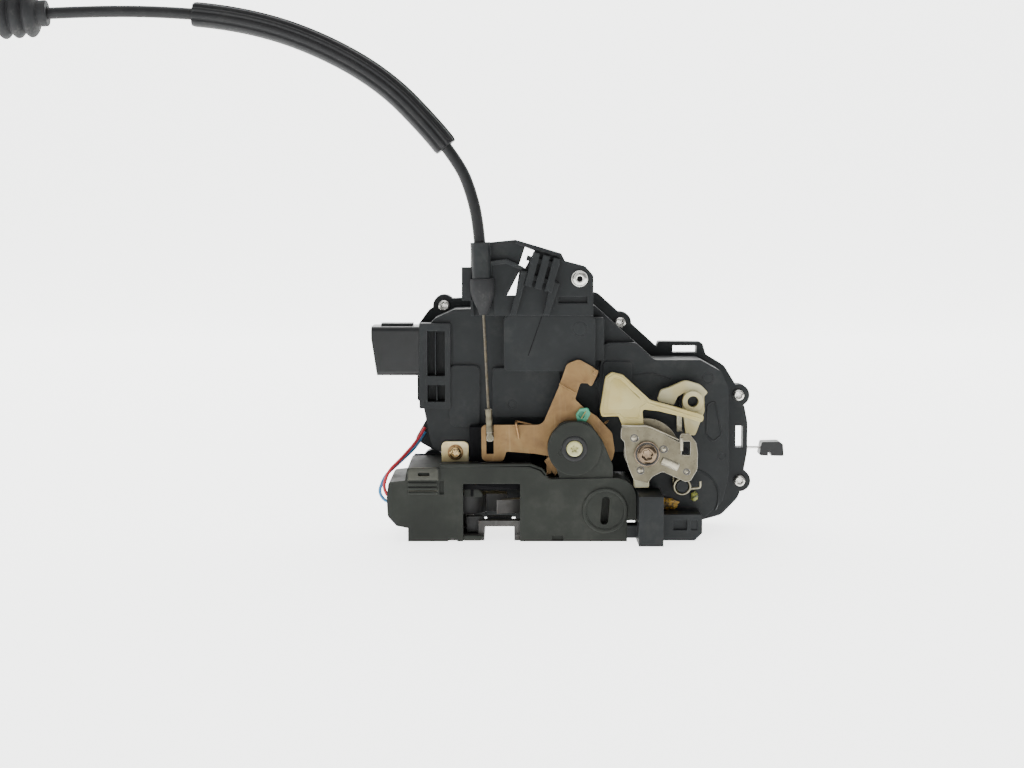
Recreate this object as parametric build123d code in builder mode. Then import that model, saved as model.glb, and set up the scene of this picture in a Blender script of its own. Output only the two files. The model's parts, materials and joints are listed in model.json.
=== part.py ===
from build123d import *
from math import atan2, cos, degrees, pi, radians, sin, tan
import os

# Door latch actuator: a side-door lock module with latch, lock motor and inner-handle cable.
# Frame: X to the right and Z up as the module stands on its latch face, Y away from the
# viewer. The origin is midway between the two fixing holes, on the latch face.
# "Depth" is measured from the front of the latch cover, towards +Y.

# ---------------------------------------------------------------- clearances
running_fit = 0.05          # radial clearance of a shaft in its bore
side_gap = 0.3              # between moving faces that slide past each other
sharp_below = 0.7           # corners of a smaller radius than this stay sharp

# ---------------------------------------------------------------- latch unit
mount_depth = 20.0          # fixing holes behind the front of the cover
fixing_spacing = 66.0
fixing_hole_radius = 3.4
fixing_collar_radius = 5.0
fixing_collar_height = 5.5
latch_depth = 40.0
latch_left = -40.6
latch_right = 54.4
face_plate_thickness = 2.5
cover_wall = 2.2
cover_height = 33.0
pocket_left = -16.7         # striker pocket in the front of the cover
pocket_right = 8.0
pocket_height = 25.2
mouth_centre = -1.0
mouth_width = 13.0
mouth_flare = 6.0
bridge_depth = 3.0          # bridge that joins the plate across the mouth
bridge_length = 6.0
bridge_height = 6.0
bridge_thickness = 2.5
bearing_plate_height = 22.4
bearing_plate_thickness = 2.0
tab_left = -26.6            # plated tab that screws to the housing
tab_right = -14.7
tab_top = 41.3
tab_screw_x = -20.5
tab_screw_z = 36.6

# ---------------------------------------------------------------- claw and pawl
claw_x = -15.5
claw_depth = 19.5
claw_radius = 18.0
claw_hub_radius = 8.5
claw_slot_width = 11.0
claw_bottom = 10.0
claw_thickness = 8.0
claw_skin = 1.5
claw_open_angle = 55.0
claw_notch_radius = 16.0
claw_pin_radius = 3.0
pin_head = 1.6              # how far a pin's head stands out, round and along
pawl_x = 17.0
pawl_depth = 15.0
pawl_hub_radius = 4.5
pawl_thickness = 6.0
pawl_pin_radius = 2.5
pawl_reach = 12.0           # from the pawl's pin to its lifting pin
lifting_pin_radius = 1.8
lifting_pin_top = 30.5

# ---------------------------------------------------------------- key rotor
rotor_x = 44.8
rotor_z = 13.6
rotor_radius = 8.2
rotor_length = 8.0
rotor_slot_width = 3.4
rotor_slot_length = 12.4
rotor_slot_depth = 5.0
rotor_stub_radius = 4.0
rotor_web_depth = 12.0
rotor_web_thickness = 2.0

# ---------------------------------------------------------------- release lever
lever_depth = 8.0           # front face of the release lever
lever_thickness = 2.0
lever_x = 31.5
lever_z = 40.5
lever_pin_radius = 3.5
tower_radius = 11.6
tower_depth = 1.0
tower_thickness = 5.0
tower_foot = 26.2
rear_tower_depth = 12.6
rear_tower_thickness = 7.4
nipple_x = -5.1
nipple_z = 44.5
lever_slot_width = 3.2

# ---------------------------------------------------------------- cable
wire_radius = 0.6
wire_top = 103.0
ferrule_radius = 1.4
ferrule_top = 56.7
cable_depth = 6.5
cable_tilt = 2.83           # degrees from the vertical, above the nipple
boot_bottom = 98.0
boot_top = 113.7
boot_radius = 5.3
guide_bore_radius = 1.4
sheath_radius = 2.5
sheath_start = 120.4
tube_bottom = 113.7
tube_top = 129.2
tube_radius = 4.2
sleeve_radius = 5.3
grommet_radius = 10.0
grommet_slack = 0.6         # the loose fit of the grommet on the sheath
bracket_screw_place = (33.8, 113.5)

# ---------------------------------------------------------------- outer handle lever
outer_x = 62.7
outer_z = 38.4
outer_shank_radius = 3.0
zinc_depth = -0.4
zinc_thickness = 2.5
cream_thickness = 3.6
disc_radius = 14.6
disc_thickness = 1.6
screw_head_radius = 4.1
screw_washer_radius = 5.5
return_spring_place = (79.0, 22.6)
return_spring_bore = 2.9

# ---------------------------------------------------------------- hook lever
hook_x = 83.1
hook_z = 60.3
hook_depth = 8.6
hook_thickness = 3.4
hook_boss_radius = 4.5
hook_bore_radius = 2.4

# ---------------------------------------------------------------- housing
housing_front = 20.0        # main front wall
bulge_front = 16.0          # right-hand front wall behind the levers
motor_box_front = 11.0
housing_wall = 2.2
rim_depth = 41.0
rim_thickness = 4.0
gasket_thickness = 0.8
flange_thickness = 2.4
tub_depth = 58.0
lobe_radius = 5.0
screw_head = 2.6
screw_head_height = 1.9
screw_shank = 1.6

# ---------------------------------------------------------------- lock drive
motor_axis_z = 83.5
drive_plane = 34.0          # depth of the motor axis and of the wheel's middle
motor_radius = 8.6
motor_left = 4.0
motor_right = 33.5
motor_shaft_radius = 1.0
module = 1.0
worm_pitch_radius = 3.0
worm_left = 38.4
worm_right = 49.8
wheel_x = 45.5
wheel_teeth = 26
wheel_width = 3.0
pinion_teeth = 10
pinion_end = 54.0
wheel_pin_radius = 2.0
slider_front = 49.5
slider_back = 55.7
rod_z = 34.3
rod_depth = 52.0
rod_radius = 0.6

# ---------------------------------------------------------------- derived sizes
lever_back = lever_depth + lever_thickness
cream_depth = zinc_depth + zinc_thickness
disc_depth = cream_depth + cream_thickness
boss_front = disc_depth + disc_thickness + side_gap
gasket_depth = rim_depth + rim_thickness
flange_depth = gasket_depth + gasket_thickness
tub_front = flange_depth + flange_thickness
wheel_pitch_radius = module * wheel_teeth / 2
pinion_pitch_radius = module * pinion_teeth / 2
wheel_z = motor_axis_z - worm_pitch_radius - wheel_pitch_radius
rack_z = wheel_z - pinion_pitch_radius
bearing_plate_top = bearing_plate_height + bearing_plate_thickness
cover_screw_places = [(-26.2, 100.2), (53.4, 92.5), (107.3, 59.6), (108.2, 20.4), (-31.2, 29.6)]


# ---------------------------------------------------------------- drawing helpers
def y_at(depth):
    """World Y of a depth behind the front of the latch cover."""
    return depth - mount_depth


def front_plane(depth):
    """Plane that faces the viewer; its x and y are the world's X and Z."""
    return Plane.XZ.offset(-y_at(depth))


def add_outline(points, radius, depth, thickness, mode=Mode.ADD):
    """Plate with rounded corners, from a depth towards the rear."""
    radii = radius if isinstance(radius, list) else [radius] * len(points)
    with BuildSketch(front_plane(depth)) as shape:
        with BuildLine():
            if max(radii) < sharp_below:
                Polyline(*points, close=True)
            else:
                FilletPolyline(*points, radius=[r if r >= sharp_below else 0 for r in radii], close=True)
        make_face()
    extrude(shape.sketch, amount=-thickness, mode=mode)


def add_disc(centre, radius, depth, thickness, mode=Mode.ADD):
    """Round boss or hole along Y, from a depth towards the rear."""
    with BuildSketch(front_plane(depth)) as shape:
        with Locations(centre):
            Circle(radius)
    extrude(shape.sketch, amount=-thickness, mode=mode)


def add_block(x_range, z_range, depth, thickness, mode=Mode.ADD, corner=0.0, turn=0.0):
    """Block between two X and two Z values, from a depth towards the rear."""
    width = x_range[1] - x_range[0]
    height = z_range[1] - z_range[0]
    middle = ((x_range[0] + x_range[1]) / 2, (z_range[0] + z_range[1]) / 2)
    with BuildSketch(front_plane(depth)) as shape:
        with Locations(middle):
            if corner >= sharp_below:
                RectangleRounded(width, height, corner, rotation=turn)
            else:
                Rectangle(width, height, rotation=turn)
    extrude(shape.sketch, amount=-thickness, mode=mode)


def add_post(x, depth, radius, bottom, top, mode=Mode.ADD):
    """Round post or hole along Z."""
    with BuildSketch(Plane.XY.offset(bottom)) as shape:
        with Locations((x, y_at(depth))):
            Circle(radius)
    extrude(shape.sketch, amount=top - bottom, mode=mode)


def add_bar(z_and_depth, radius, left, right, mode=Mode.ADD):
    """Round bar or hole along X."""
    with BuildSketch(Plane.YZ.offset(left)) as shape:
        with Locations((y_at(z_and_depth[1]), z_and_depth[0])):
            Circle(radius)
    extrude(shape.sketch, amount=right - left, mode=mode)


def cable_plane(height):
    """Plane across the straight part of the cable, at a height above the latch face."""
    lean = radians(cable_tilt)
    rise = height - nipple_z
    origin = (nipple_x - rise * tan(lean), y_at(cable_depth), height)
    return Plane(origin=origin, x_dir=(cos(lean), 0, sin(lean)), z_dir=(-sin(lean), 0, cos(lean)))


def add_along_cable(radius, bottom, top, mode=Mode.ADD):
    """Round piece or hole on the cable's straight line, between two heights."""
    length = (top - bottom) / cos(radians(cable_tilt))
    with BuildSketch(cable_plane(bottom)) as shape:
        Circle(radius)
    extrude(shape.sketch, amount=length, mode=mode)


# ================================================================ latch unit
def make_latch_face_plate():
    """Steel plate with the fish mouth, threaded collars and the bridge across the mouth."""
    mouth_left = mouth_centre - mouth_width / 2
    mouth_right = mouth_centre + mouth_width / 2
    front_edge = y_at(cover_wall)
    rear_edge = y_at(latch_depth)
    left_edge = latch_left + cover_wall
    right_edge = latch_right - cover_wall
    with BuildPart() as latch_face_plate:
        with BuildSketch():
            with BuildLine():
                Polyline(
                    (left_edge, front_edge), (right_edge, front_edge),
                    (right_edge, rear_edge), (left_edge, rear_edge), close=True,
                )
            make_face()
            with BuildLine():
                Polyline(
                    (mouth_left, front_edge), (mouth_right, front_edge), (mouth_right, rear_edge - 8),
                    (mouth_right + mouth_flare, rear_edge), (mouth_left - mouth_flare, rear_edge),
                    (mouth_left, rear_edge - 8), close=True,
                )
            make_face(mode=Mode.SUBTRACT)
        extrude(amount=face_plate_thickness)
        for side in (-1, 1):
            add_post(side * fixing_spacing / 2, mount_depth, fixing_collar_radius,
                     face_plate_thickness, face_plate_thickness + fixing_collar_height)
        leg_top = bridge_height + bridge_thickness
        with BuildSketch(front_plane(bridge_depth)):
            with Locations((mouth_centre, (face_plate_thickness + leg_top) / 2)):
                Rectangle(mouth_width + 2 * bridge_thickness, leg_top - face_plate_thickness)
            with Locations((mouth_centre, bridge_height / 2)):
                Rectangle(mouth_width, bridge_height, mode=Mode.SUBTRACT)
        extrude(amount=-bridge_length)
        for side in (-1, 1):
            add_post(side * fixing_spacing / 2, mount_depth, fixing_hole_radius,
                     0, face_plate_thickness + fixing_collar_height, Mode.SUBTRACT)
        add_post(claw_x, claw_depth, claw_pin_radius + running_fit, 0, face_plate_thickness, Mode.SUBTRACT)
        add_post(pawl_x, pawl_depth, pawl_pin_radius + running_fit, 0, face_plate_thickness, Mode.SUBTRACT)
    return latch_face_plate


def make_latch_bearing_plate():
    """Plated steel plate over the claw, with the screw tab turned up at its left."""
    with BuildPart() as latch_bearing_plate:
        with BuildSketch(Plane.XY.offset(bearing_plate_height)):
            with BuildLine():
                FilletPolyline(
                    (-34, y_at(6)), (30, y_at(6)), (30, y_at(36)), (-34, y_at(36)),
                    radius=3, close=True,
                )
            make_face()
        extrude(amount=bearing_plate_thickness)
        add_outline(
            [(tab_left, bearing_plate_height), (tab_right, bearing_plate_height),
             (tab_right, tab_top), (tab_left, tab_top)],
            [0, 0, 2.2, 2.2], housing_front - 2, 2,
        )
        add_disc((tab_screw_x, tab_screw_z), screw_shank + 0.2, housing_front - 2, 2, Mode.SUBTRACT)
        add_post(claw_x, claw_depth, claw_pin_radius + running_fit,
                 bearing_plate_height, bearing_plate_top, Mode.SUBTRACT)
        add_post(pawl_x, pawl_depth, pawl_pin_radius + running_fit,
                 bearing_plate_height, bearing_plate_top, Mode.SUBTRACT)
        add_post(claw_x, claw_depth, claw_pin_radius + pin_head + side_gap,
                 bearing_plate_top, bearing_plate_top + pin_head + side_gap, Mode.SUBTRACT)
        with BuildSketch(Plane.XY.offset(bearing_plate_height)):
            with Locations((pawl_x - 1.0, y_at(pawl_depth + pawl_reach))):
                SlotOverall(8.4, 5.0)
        extrude(amount=bearing_plate_thickness, mode=Mode.SUBTRACT)
    return latch_bearing_plate


def make_latch_cover():
    """Moulded cover with the striker pocket, the pivot tower and the key-rotor seat."""
    outline = [
        (latch_left, 0), (latch_left, 5.8), (-45.6, 6.8), (-49.4, 11), (-49.8, 19), (-49.0, 25.8),
        (-41.8, 26.6), (-40.8, cover_height - 0.8), (12.2, cover_height), (17.2, 31.2), (20.5, 27.2),
        (58.3, 27.9), (58.4, 9.2), (latch_right, 9.2), (latch_right, 0),
    ]
    corners = [0.5, 0.5, 1, 3, 3, 1.5, 0.5, 1, 1.5, 1, 1, 9, 0.5, 0.5, 0.5]
    inner = [
        (latch_left + 2.2, -1), (latch_left + 2.2, 8.2), (-46.2, 9.6), (-47.4, 13), (-47.4, 23.4),
        (-38.4, 24.6), (-38.4, 30.8), (11.4, 30.8), (19.6, 25.0), (50.4, 25.2), (55.6, 20.0),
        (56.0, 11.6), (52.2, 11.2), (52.2, -1),
    ]
    tower = [
        (25.6, tower_foot), (lever_x - tower_radius, lever_z + 2),
        (lever_x - 6, lever_z + tower_radius), (lever_x + 6, lever_z + tower_radius),
        (lever_x + tower_radius + 0.6, lever_z + 3), (48.2, 33.0), (48.2, tower_foot),
    ]
    rotor = (rotor_x, rotor_z)
    with BuildPart() as latch_cover:
        add_outline(outline, corners, 0, latch_depth)
        add_outline(inner, 0.6, cover_wall, latch_depth - cover_wall, Mode.SUBTRACT)
        # pivot tower: front disc, and a rear wall behind the lever
        add_outline(tower, [0, 3, 6, 6, 3, 1, 0], tower_depth, tower_thickness)
        add_disc((lever_x, lever_z), tower_radius, 0, tower_depth + tower_thickness)
        add_outline(
            [(21.5, tower_foot), (lever_x - 8, lever_z + 8), (lever_x + 8, lever_z + 8),
             (43.5, tower_foot)],
            [0, 6, 6, 0], rear_tower_depth, rear_tower_thickness,
        )
        add_disc((lever_x, lever_z), lever_pin_radius + running_fit, 0, 25, Mode.SUBTRACT)
        # striker pocket
        add_block((pocket_left, pocket_right), (-1, pocket_height), -1, cover_wall + 1.5, Mode.SUBTRACT)
        # window in the top wall for the lever's tail
        add_block((13.0, 26.2), (24.8, cover_height + 1), lever_depth - 1.5, 25.5, Mode.SUBTRACT)
        # slot in the top wall for the screw tab
        add_block((tab_left - 0.3, tab_right + 0.3), (30, cover_height + 1),
                  housing_front - 2.3, 2.6, Mode.SUBTRACT)
        # switch block at the upper left: raised pad, grooves and a dark slot
        add_block((-40.6, -27.2), (26.8, 32.2), -1.2, 1.4, corner=0.8)
        add_block((-36.2, -31.2), (28.4, 30.6), -1.4, 1.8, Mode.SUBTRACT)
        for row in range(3):
            add_block((-40.4, -28.0), (20.6 + 2.0 * row, 21.6 + 2.0 * row), -0.8, 1.0)
        add_block((-27.0, -24.9), (20.6, 26.6), -0.2, 1.4, Mode.SUBTRACT)
        # seat of the key rotor, with a raised ring
        add_disc(rotor, rotor_radius + 1.5, -0.8, 1.0)
        add_disc(rotor, rotor_radius + running_fit, -1, cover_wall + 2, Mode.SUBTRACT)
        add_disc(rotor, rotor_radius + side_gap, cover_wall, rotor_length, Mode.SUBTRACT)
        add_block((38.5, 52.6), (2.8, 25.6), rotor_web_depth, rotor_web_thickness)
        add_disc(rotor, rotor_stub_radius + running_fit, rotor_web_depth - 1, 4, Mode.SUBTRACT)
        # small catch recess at the lower right and a step at the left foot
        add_block((21.8, 26.8), (0.2, 2.6), -0.5, 1.6, Mode.SUBTRACT)
        add_outline([(-13.2, -1), (-17.2, -1), (-21.5, 1.6), (-24.5, -1)], 0, -0.5, cover_wall + 1,
                    Mode.SUBTRACT)
        # room for the nearest housing screw, and the wire entry at the left
        add_disc(cover_screw_places[-1], screw_head + side_gap, latch_depth - 1.6, 3, Mode.SUBTRACT)
        add_block((-51, -46), (10.6, 17.6), 22.0, 8.0, Mode.SUBTRACT)
    return latch_cover


def claw_profile(shrink):
    """Fork outline of the claw in its open position, smaller all round by the given amount."""
    first = claw_open_angle - 60
    notch_start = claw_open_angle - 36
    notch_end = claw_open_angle - 12
    last = claw_open_angle + 44
    middle = Vector(claw_x, y_at(claw_depth))
    reach = claw_radius - shrink
    notch_reach = claw_notch_radius - shrink
    edge = 4.0 * shrink

    def at(radius, angle):
        return middle + Vector(radius, 0).rotate(Axis.Z, angle)

    with BuildSketch() as profile:
        with BuildLine():
            Line(middle, at(reach, first + edge))
            CenterArc(middle, reach, first + edge, notch_start - first - 2 * edge)
            Line(at(reach, notch_start - edge), at(notch_reach, notch_start - edge))
            CenterArc(middle, notch_reach, notch_start - edge, notch_end - notch_start + edge)
            Line(at(notch_reach, notch_end), at(reach, notch_end))
            CenterArc(middle, reach, notch_end, last - notch_end - edge)
            Line(at(reach, last - edge), middle)
        make_face()
        with Locations((middle.X, middle.Y)):
            Circle(claw_hub_radius - shrink)
        slot_reach = abs(mouth_centre - claw_x)
        slot_width = claw_slot_width + 2 * shrink
        with Locations(Location((middle.X, middle.Y, 0), (0, 0, claw_open_angle))):
            with Locations((slot_reach, 0)):
                Circle(slot_width / 2, mode=Mode.SUBTRACT)
            with Locations((slot_reach + claw_radius / 2, 0)):
                Rectangle(claw_radius, slot_width, mode=Mode.SUBTRACT)
    return profile.sketch


def make_claw_core():
    """Steel fork of the claw."""
    with BuildPart() as claw_core:
        with BuildSketch(Plane.XY.offset(claw_bottom + claw_skin)):
            add(claw_profile(claw_skin))
        extrude(amount=claw_thickness - 2 * claw_skin)
        add_post(claw_x, claw_depth, claw_pin_radius + running_fit,
                 claw_bottom, claw_bottom + claw_thickness, Mode.SUBTRACT)
    return claw_core


def make_claw_overmould():
    """Plastic skin moulded round the claw's steel fork."""
    with BuildPart() as claw_overmould:
        with BuildSketch(Plane.XY.offset(claw_bottom)):
            add(claw_profile(0))
        extrude(amount=claw_thickness)
        with BuildSketch(Plane.XY.offset(claw_bottom + claw_skin)):
            add(claw_profile(claw_skin))
        extrude(amount=claw_thickness - 2 * claw_skin, mode=Mode.SUBTRACT)
        add_post(claw_x, claw_depth, claw_pin_radius + running_fit,
                 claw_bottom, claw_bottom + claw_thickness, Mode.SUBTRACT)
    return claw_overmould


def make_plate_pin(x, depth, radius):
    """Riveted pin between the face plate and the bearing plate."""
    with BuildPart() as plate_pin:
        add_post(x, depth, radius, 0, bearing_plate_top + pin_head)
        add_post(x, depth, radius + pin_head, face_plate_thickness, face_plate_thickness + pin_head)
        add_post(x, depth, radius + pin_head, bearing_plate_top, bearing_plate_top + pin_head)
    return plate_pin


def make_pawl():
    """Steel pawl with its nose beside the claw and its lifting pin behind."""
    bottom = claw_bottom + (claw_thickness - pawl_thickness) / 2
    claw_middle = Vector(claw_x, y_at(claw_depth))
    nose_gap = claw_radius + side_gap + 0.2
    hub = Vector(pawl_x, y_at(pawl_depth))
    lift = hub + Vector(0, pawl_reach)
    nose_front = claw_middle + Vector(nose_gap, 0).rotate(Axis.Z, -44)
    nose_middle = claw_middle + Vector(nose_gap, 0).rotate(Axis.Z, -38)
    nose_back = claw_middle + Vector(nose_gap, 0).rotate(Axis.Z, -32)
    with BuildPart() as pawl:
        with BuildSketch(Plane.XY.offset(bottom)):
            with BuildLine():
                ThreePointArc(nose_back, nose_middle, nose_front)
                Polyline(nose_front, hub + Vector(-2.5, -pawl_hub_radius + 0.4), hub + Vector(0, 0),
                         hub + Vector(-3.4, pawl_hub_radius - 1.6), nose_back)
            make_face()
            with Locations((hub.X, hub.Y)):
                Circle(pawl_hub_radius)
            with Locations((hub.X, (hub.Y + lift.Y) / 2)):
                Rectangle(5.6, pawl_reach)
            with Locations((lift.X, lift.Y)):
                Circle(2.8)
            with Locations((hub.X, hub.Y)):
                Circle(pawl_pin_radius + running_fit, mode=Mode.SUBTRACT)
        extrude(amount=pawl_thickness)
        add_post(pawl_x, pawl_depth + pawl_reach, lifting_pin_radius, bottom, lifting_pin_top)
    return pawl


def make_plate_spring(x, depth, pin_radius, bottom, leg_to):
    """Torsion spring round a pin: its coils as one sleeve, with one straight leg."""
    inner = pin_radius + 1.2
    outer = inner + 1.2
    height = 3.6
    with BuildPart() as plate_spring:
        add_post(x, depth, outer, bottom, bottom + height)
        add_post(x, depth, inner, bottom, bottom + height, Mode.SUBTRACT)
        start = (x, y_at(depth) + inner + 0.6)
        middle = ((start[0] + leg_to[0]) / 2, (start[1] + y_at(leg_to[1])) / 2)
        length = abs(leg_to[0] - start[0])
        turn = degrees(atan2(y_at(leg_to[1]) - start[1], leg_to[0] - start[0]))
        with BuildSketch(Plane.XY.offset(bottom + height - 1.2)):
            with Locations(middle):
                Rectangle(length, 1.2, rotation=turn)
        extrude(amount=1.2)
    return plate_spring


def make_striker_bumper():
    """Rubber block behind the bridge that stops the striker."""
    left = mouth_centre - mouth_width / 2 + 1
    right = mouth_centre + mouth_width / 2 - 1
    with BuildPart() as striker_bumper:
        add_block((left, right), (bridge_height, claw_bottom - 0.5), bridge_depth + bridge_length, 3.6)
        fillet(striker_bumper.edges().filter_by(Axis.X).group_by(Axis.Y)[-1], 1.0)
    return striker_bumper


def make_door_switch():
    """Door-ajar switch in the left lobe of the cover."""
    with BuildPart() as door_switch:
        add_block((-46.6, -40.6), (11.4, 21.4), 8, 20, corner=0.5)
        add_block((-40.6, -39.2), (14.6, 17.4), 14, 4)
    return door_switch


# ================================================================ key rotor and guides
def make_key_rotor():
    """Rotor that the key cylinder's tail turns, with its slot and rear stub."""
    with BuildPart() as key_rotor:
        add_disc((rotor_x, rotor_z), rotor_radius, -0.5, rotor_length)
        add_disc((rotor_x, rotor_z), rotor_stub_radius, rotor_length - 0.5,
                 rotor_web_depth + rotor_web_thickness + 1.5 - rotor_length)
        add_outline(
            [(rotor_x - 2.2, rotor_z), (rotor_x + 2.2, rotor_z), (rotor_x + 1.6, rotor_z + 10.6),
             (rotor_x - 1.6, rotor_z + 10.6)],
            [0, 0, 1.2, 1.2], cover_wall + side_gap + 1.6, 2.4,
        )
        with BuildSketch(front_plane(-0.5)):
            with Locations((rotor_x, rotor_z)):
                SlotOverall(rotor_slot_length, rotor_slot_width, rotation=86)
        extrude(amount=-rotor_slot_depth, mode=Mode.SUBTRACT)
    return key_rotor


def make_guide_block():
    """Upright block at the right of the cover, with a lug that meets the cover's end."""
    left = 58.7
    right = 69.2
    with BuildPart() as guide_block:
        add_block((left, right), (0, 21.4), -12, 25, corner=0.6)
        add_block((latch_right, left + 1), (1.6, 7.0), -0.5, 9)
    return guide_block


# ================================================================ release lever
def make_release_lever():
    """Plated release lever: cable arm, upper arm with its hook, tail and spring side."""
    outline = [
        (-8.9, 49.9), (17.8, 49.9), (24.8, 66.4), (28.4, 76.6), (33.5, 78.6), (39.6, 75.2), (42.2, 73.2),
        (39.0, 66.4), (37.4, 68.2), (34.2, 68.2), (31.9, 61.2), (36.0, 57.2), (41.5, 53.6), (48.2, 46.4),
        (49.3, 38.6), (48.3, 34.2), (36, 29.6), (25.6, 30.2), (23.4, 27.6), (18.6, 33.9), (20.6, 36.2),
        (14.8, 37.2), (2.0, 38.2), (0.8, 33.9), (-8.7, 33.9),
    ]
    corners = [2.2, 4, 4, 3, 3, 1.5, 0.8, 0.8, 0.8, 1, 1.5, 1, 2, 3, 3, 2, 2, 0.6, 0.5, 0.6, 0.5, 1.5,
               1, 2, 2.4]
    with BuildPart() as release_lever:
        add_outline(outline, corners, lever_depth, lever_thickness)
        slot_top = 51
        add_block((nipple_x - lever_slot_width / 2, nipple_x + lever_slot_width / 2),
                  (nipple_z - 7.4, slot_top), lever_depth - 1, lever_thickness + 2, Mode.SUBTRACT)
        # shelf behind the arm that keeps the cable's end in its slot
        add_block((nipple_x - 3.6, nipple_x + 3.6), (nipple_z + 2.7, nipple_z + 4.4), lever_back, 2.4)
        # tail bent towards the rear, beside the pawl's lifting pin
        add_outline([(19.6, 27.9), (21.6, 28.6), (21.6, 33.6), (19.6, 33.0)], 0.3, lever_depth, 21.0)
        # small tab bent forwards at the top
        add_outline([(39.6, 72.2), (41.0, 71.6), (41.9, 73.8), (40.4, 74.4)], 0.3, lever_depth - 1.6, 2.4)
        add_disc((lever_x, lever_z), lever_pin_radius + running_fit, lever_depth - 1, 4, Mode.SUBTRACT)
    return release_lever


def make_lever_pivot_pin():
    """Plastic pivot pin through the tower and the release lever, with a driver recess."""
    with BuildPart() as lever_pivot_pin:
        add_disc((lever_x, lever_z), lever_pin_radius, -0.4, rear_tower_depth + 5.4)
        with BuildSketch(front_plane(-0.4)):
            with Locations((lever_x, lever_z)):
                RegularPolygon(1.9, 6)
        extrude(amount=-1.6, mode=Mode.SUBTRACT)
        fillet(lever_pivot_pin.edges().filter_by(GeomType.CIRCLE).sort_by(Axis.Y)[0], 0.5)
    return lever_pivot_pin


def make_lever_spring():
    """Return spring of the release lever: coils as one sleeve, and a leg hooked on the arm."""
    coil_depth = lever_back + side_gap
    coil_length = rear_tower_depth - coil_depth - side_gap
    wire = 1.2
    with BuildPart() as lever_spring:
        add_disc((lever_x, lever_z), lever_pin_radius + 3.2, coil_depth, coil_length)
        add_disc((lever_x, lever_z), lever_pin_radius + 1.0, coil_depth, coil_length, Mode.SUBTRACT)
        add_outline(
            [(6.0, 50.3), (27.0, 43.6), (27.8, 44.8), (7.2, 51.5), (6.0, 51.5)], 0, coil_depth, wire)
        add_block((6.0, 7.2), (50.2, 51.5), lever_depth - side_gap - wire, 4)
        add_block((6.0, 7.2), (44.6, 51.5), lever_depth - side_gap - wire, wire)
        add_outline([(36.4, 44.6), (44.6, 49.0), (44.0, 50.1), (35.6, 45.6)], 0, coil_depth, wire)
    return lever_spring


def make_green_tip():
    """Green plastic clip on the release lever, with a round hole."""
    with BuildPart() as green_tip:
        add_outline([(33.0, 51.6), (36.6, 51.2), (38.6, 55.0), (37.6, 57.6), (34.0, 57.2), (32.2, 54.6)],
                    1.0, lever_depth - 1.7, 1.7)
        add_disc((34.9, 54.6), 1.5, lever_depth - 1.7, 1.2, Mode.SUBTRACT)
    return green_tip


# ================================================================ cable
def make_cable_bracket():
    """Moulded bracket that holds the cable's end above the housing."""
    plate_depth = cable_depth + 3.5
    plate_thickness = 4.0
    bottom = 97.4
    body = [
        (-13.4, bottom), (-13.4, 128.0), (-5, 129.2), (6.1, 130.3), (25.9, 124.4), (27.4, 121.2),
        (36.2, 118.9), (39.8, 114.9), (39.8, bottom),
    ]
    with BuildPart() as cable_bracket:
        add_outline(body, [0.5, 1, 1, 1.5, 1, 1, 2.5, 2, 0.5], plate_depth, plate_thickness)
        # windows through the web
        add_outline([(10.1, 127.2), (14.3, 125.6), (10.2, 118.0), (7.4, 118.8)], 0.5,
                    plate_depth - 1, plate_thickness + 2, Mode.SUBTRACT)
        add_outline([(7.6, 116.4), (6.0, 106.2), (2.3, 106.1)], 0.3,
                    plate_depth - 1, plate_thickness + 2, Mode.SUBTRACT)
        add_block((24.6, 37.4), (102.8, 105.8), plate_depth - 1, 3, Mode.SUBTRACT)
        # block at the left, beside the guide tube
        add_block((-17.3, -13.0), (104, 118.4), plate_depth - 1, 5.5, corner=0.5)
        # guide tube and the seat of the boot
        add_along_cable(tube_radius, tube_bottom, tube_top)
        add_block((-9.5, -4.6), (114.2, 128.6), cable_depth + 1, 4)
        # arched shelf rib, braces and the empty cable clip
        add_outline([(-5.4, 119.2), (2.0, 120.2), (8.4, 117.4), (9.4, 118.6), (2.2, 122.0), (-5.4, 121.0)],
                    0.5, plate_depth - 3.5, 3.6)
        add_outline([(8.6, 117.0), (11.2, 116.6), (6.2, 98.0), (3.8, 98.0)], 0.4, plate_depth - 3.5, 3.6)
        add_outline([(21.4, 112.6), (25.0, 111.4), (20.6, 98.0), (18.2, 98.0)], 0.4,
                    plate_depth - 3.5, 3.6)
        for step in range(3):
            centre = (13.2 + 4.4 * step, 117.6 - 1.2 * step)
            add_block((centre[0] - 1.5, centre[0] + 1.5), (centre[1] - 7.4, centre[1] + 7.4),
                      plate_depth - 4.5, 4.6, corner=0.6, turn=-15)
        add_block((10.6, 25.0), (119.6, 121.8), plate_depth - 2.5, 2.6, turn=-15)
        add_block((9.6, 24.0), (112.2, 114.2), plate_depth - 2.5, 2.6, turn=-15)
        # rim round the upper edge
        add_outline([(6.1, 130.3), (25.9, 124.4), (25.4, 122.8), (6.0, 128.6)], 0, plate_depth - 2.2, 2.3)
        # room for the boot, and holes for the sheath and the screw
        add_along_cable(boot_radius + side_gap, bottom - 2, tube_bottom, Mode.SUBTRACT)
        add_along_cable(sheath_radius + running_fit, sheath_start, tube_top + 3, Mode.SUBTRACT)
        add_along_cable(guide_bore_radius, tube_bottom - 2, sheath_start + 1, Mode.SUBTRACT)
        add_disc(bracket_screw_place, screw_shank + 0.1, plate_depth - 1, plate_thickness + 2, Mode.SUBTRACT)
    return cable_bracket


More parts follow.
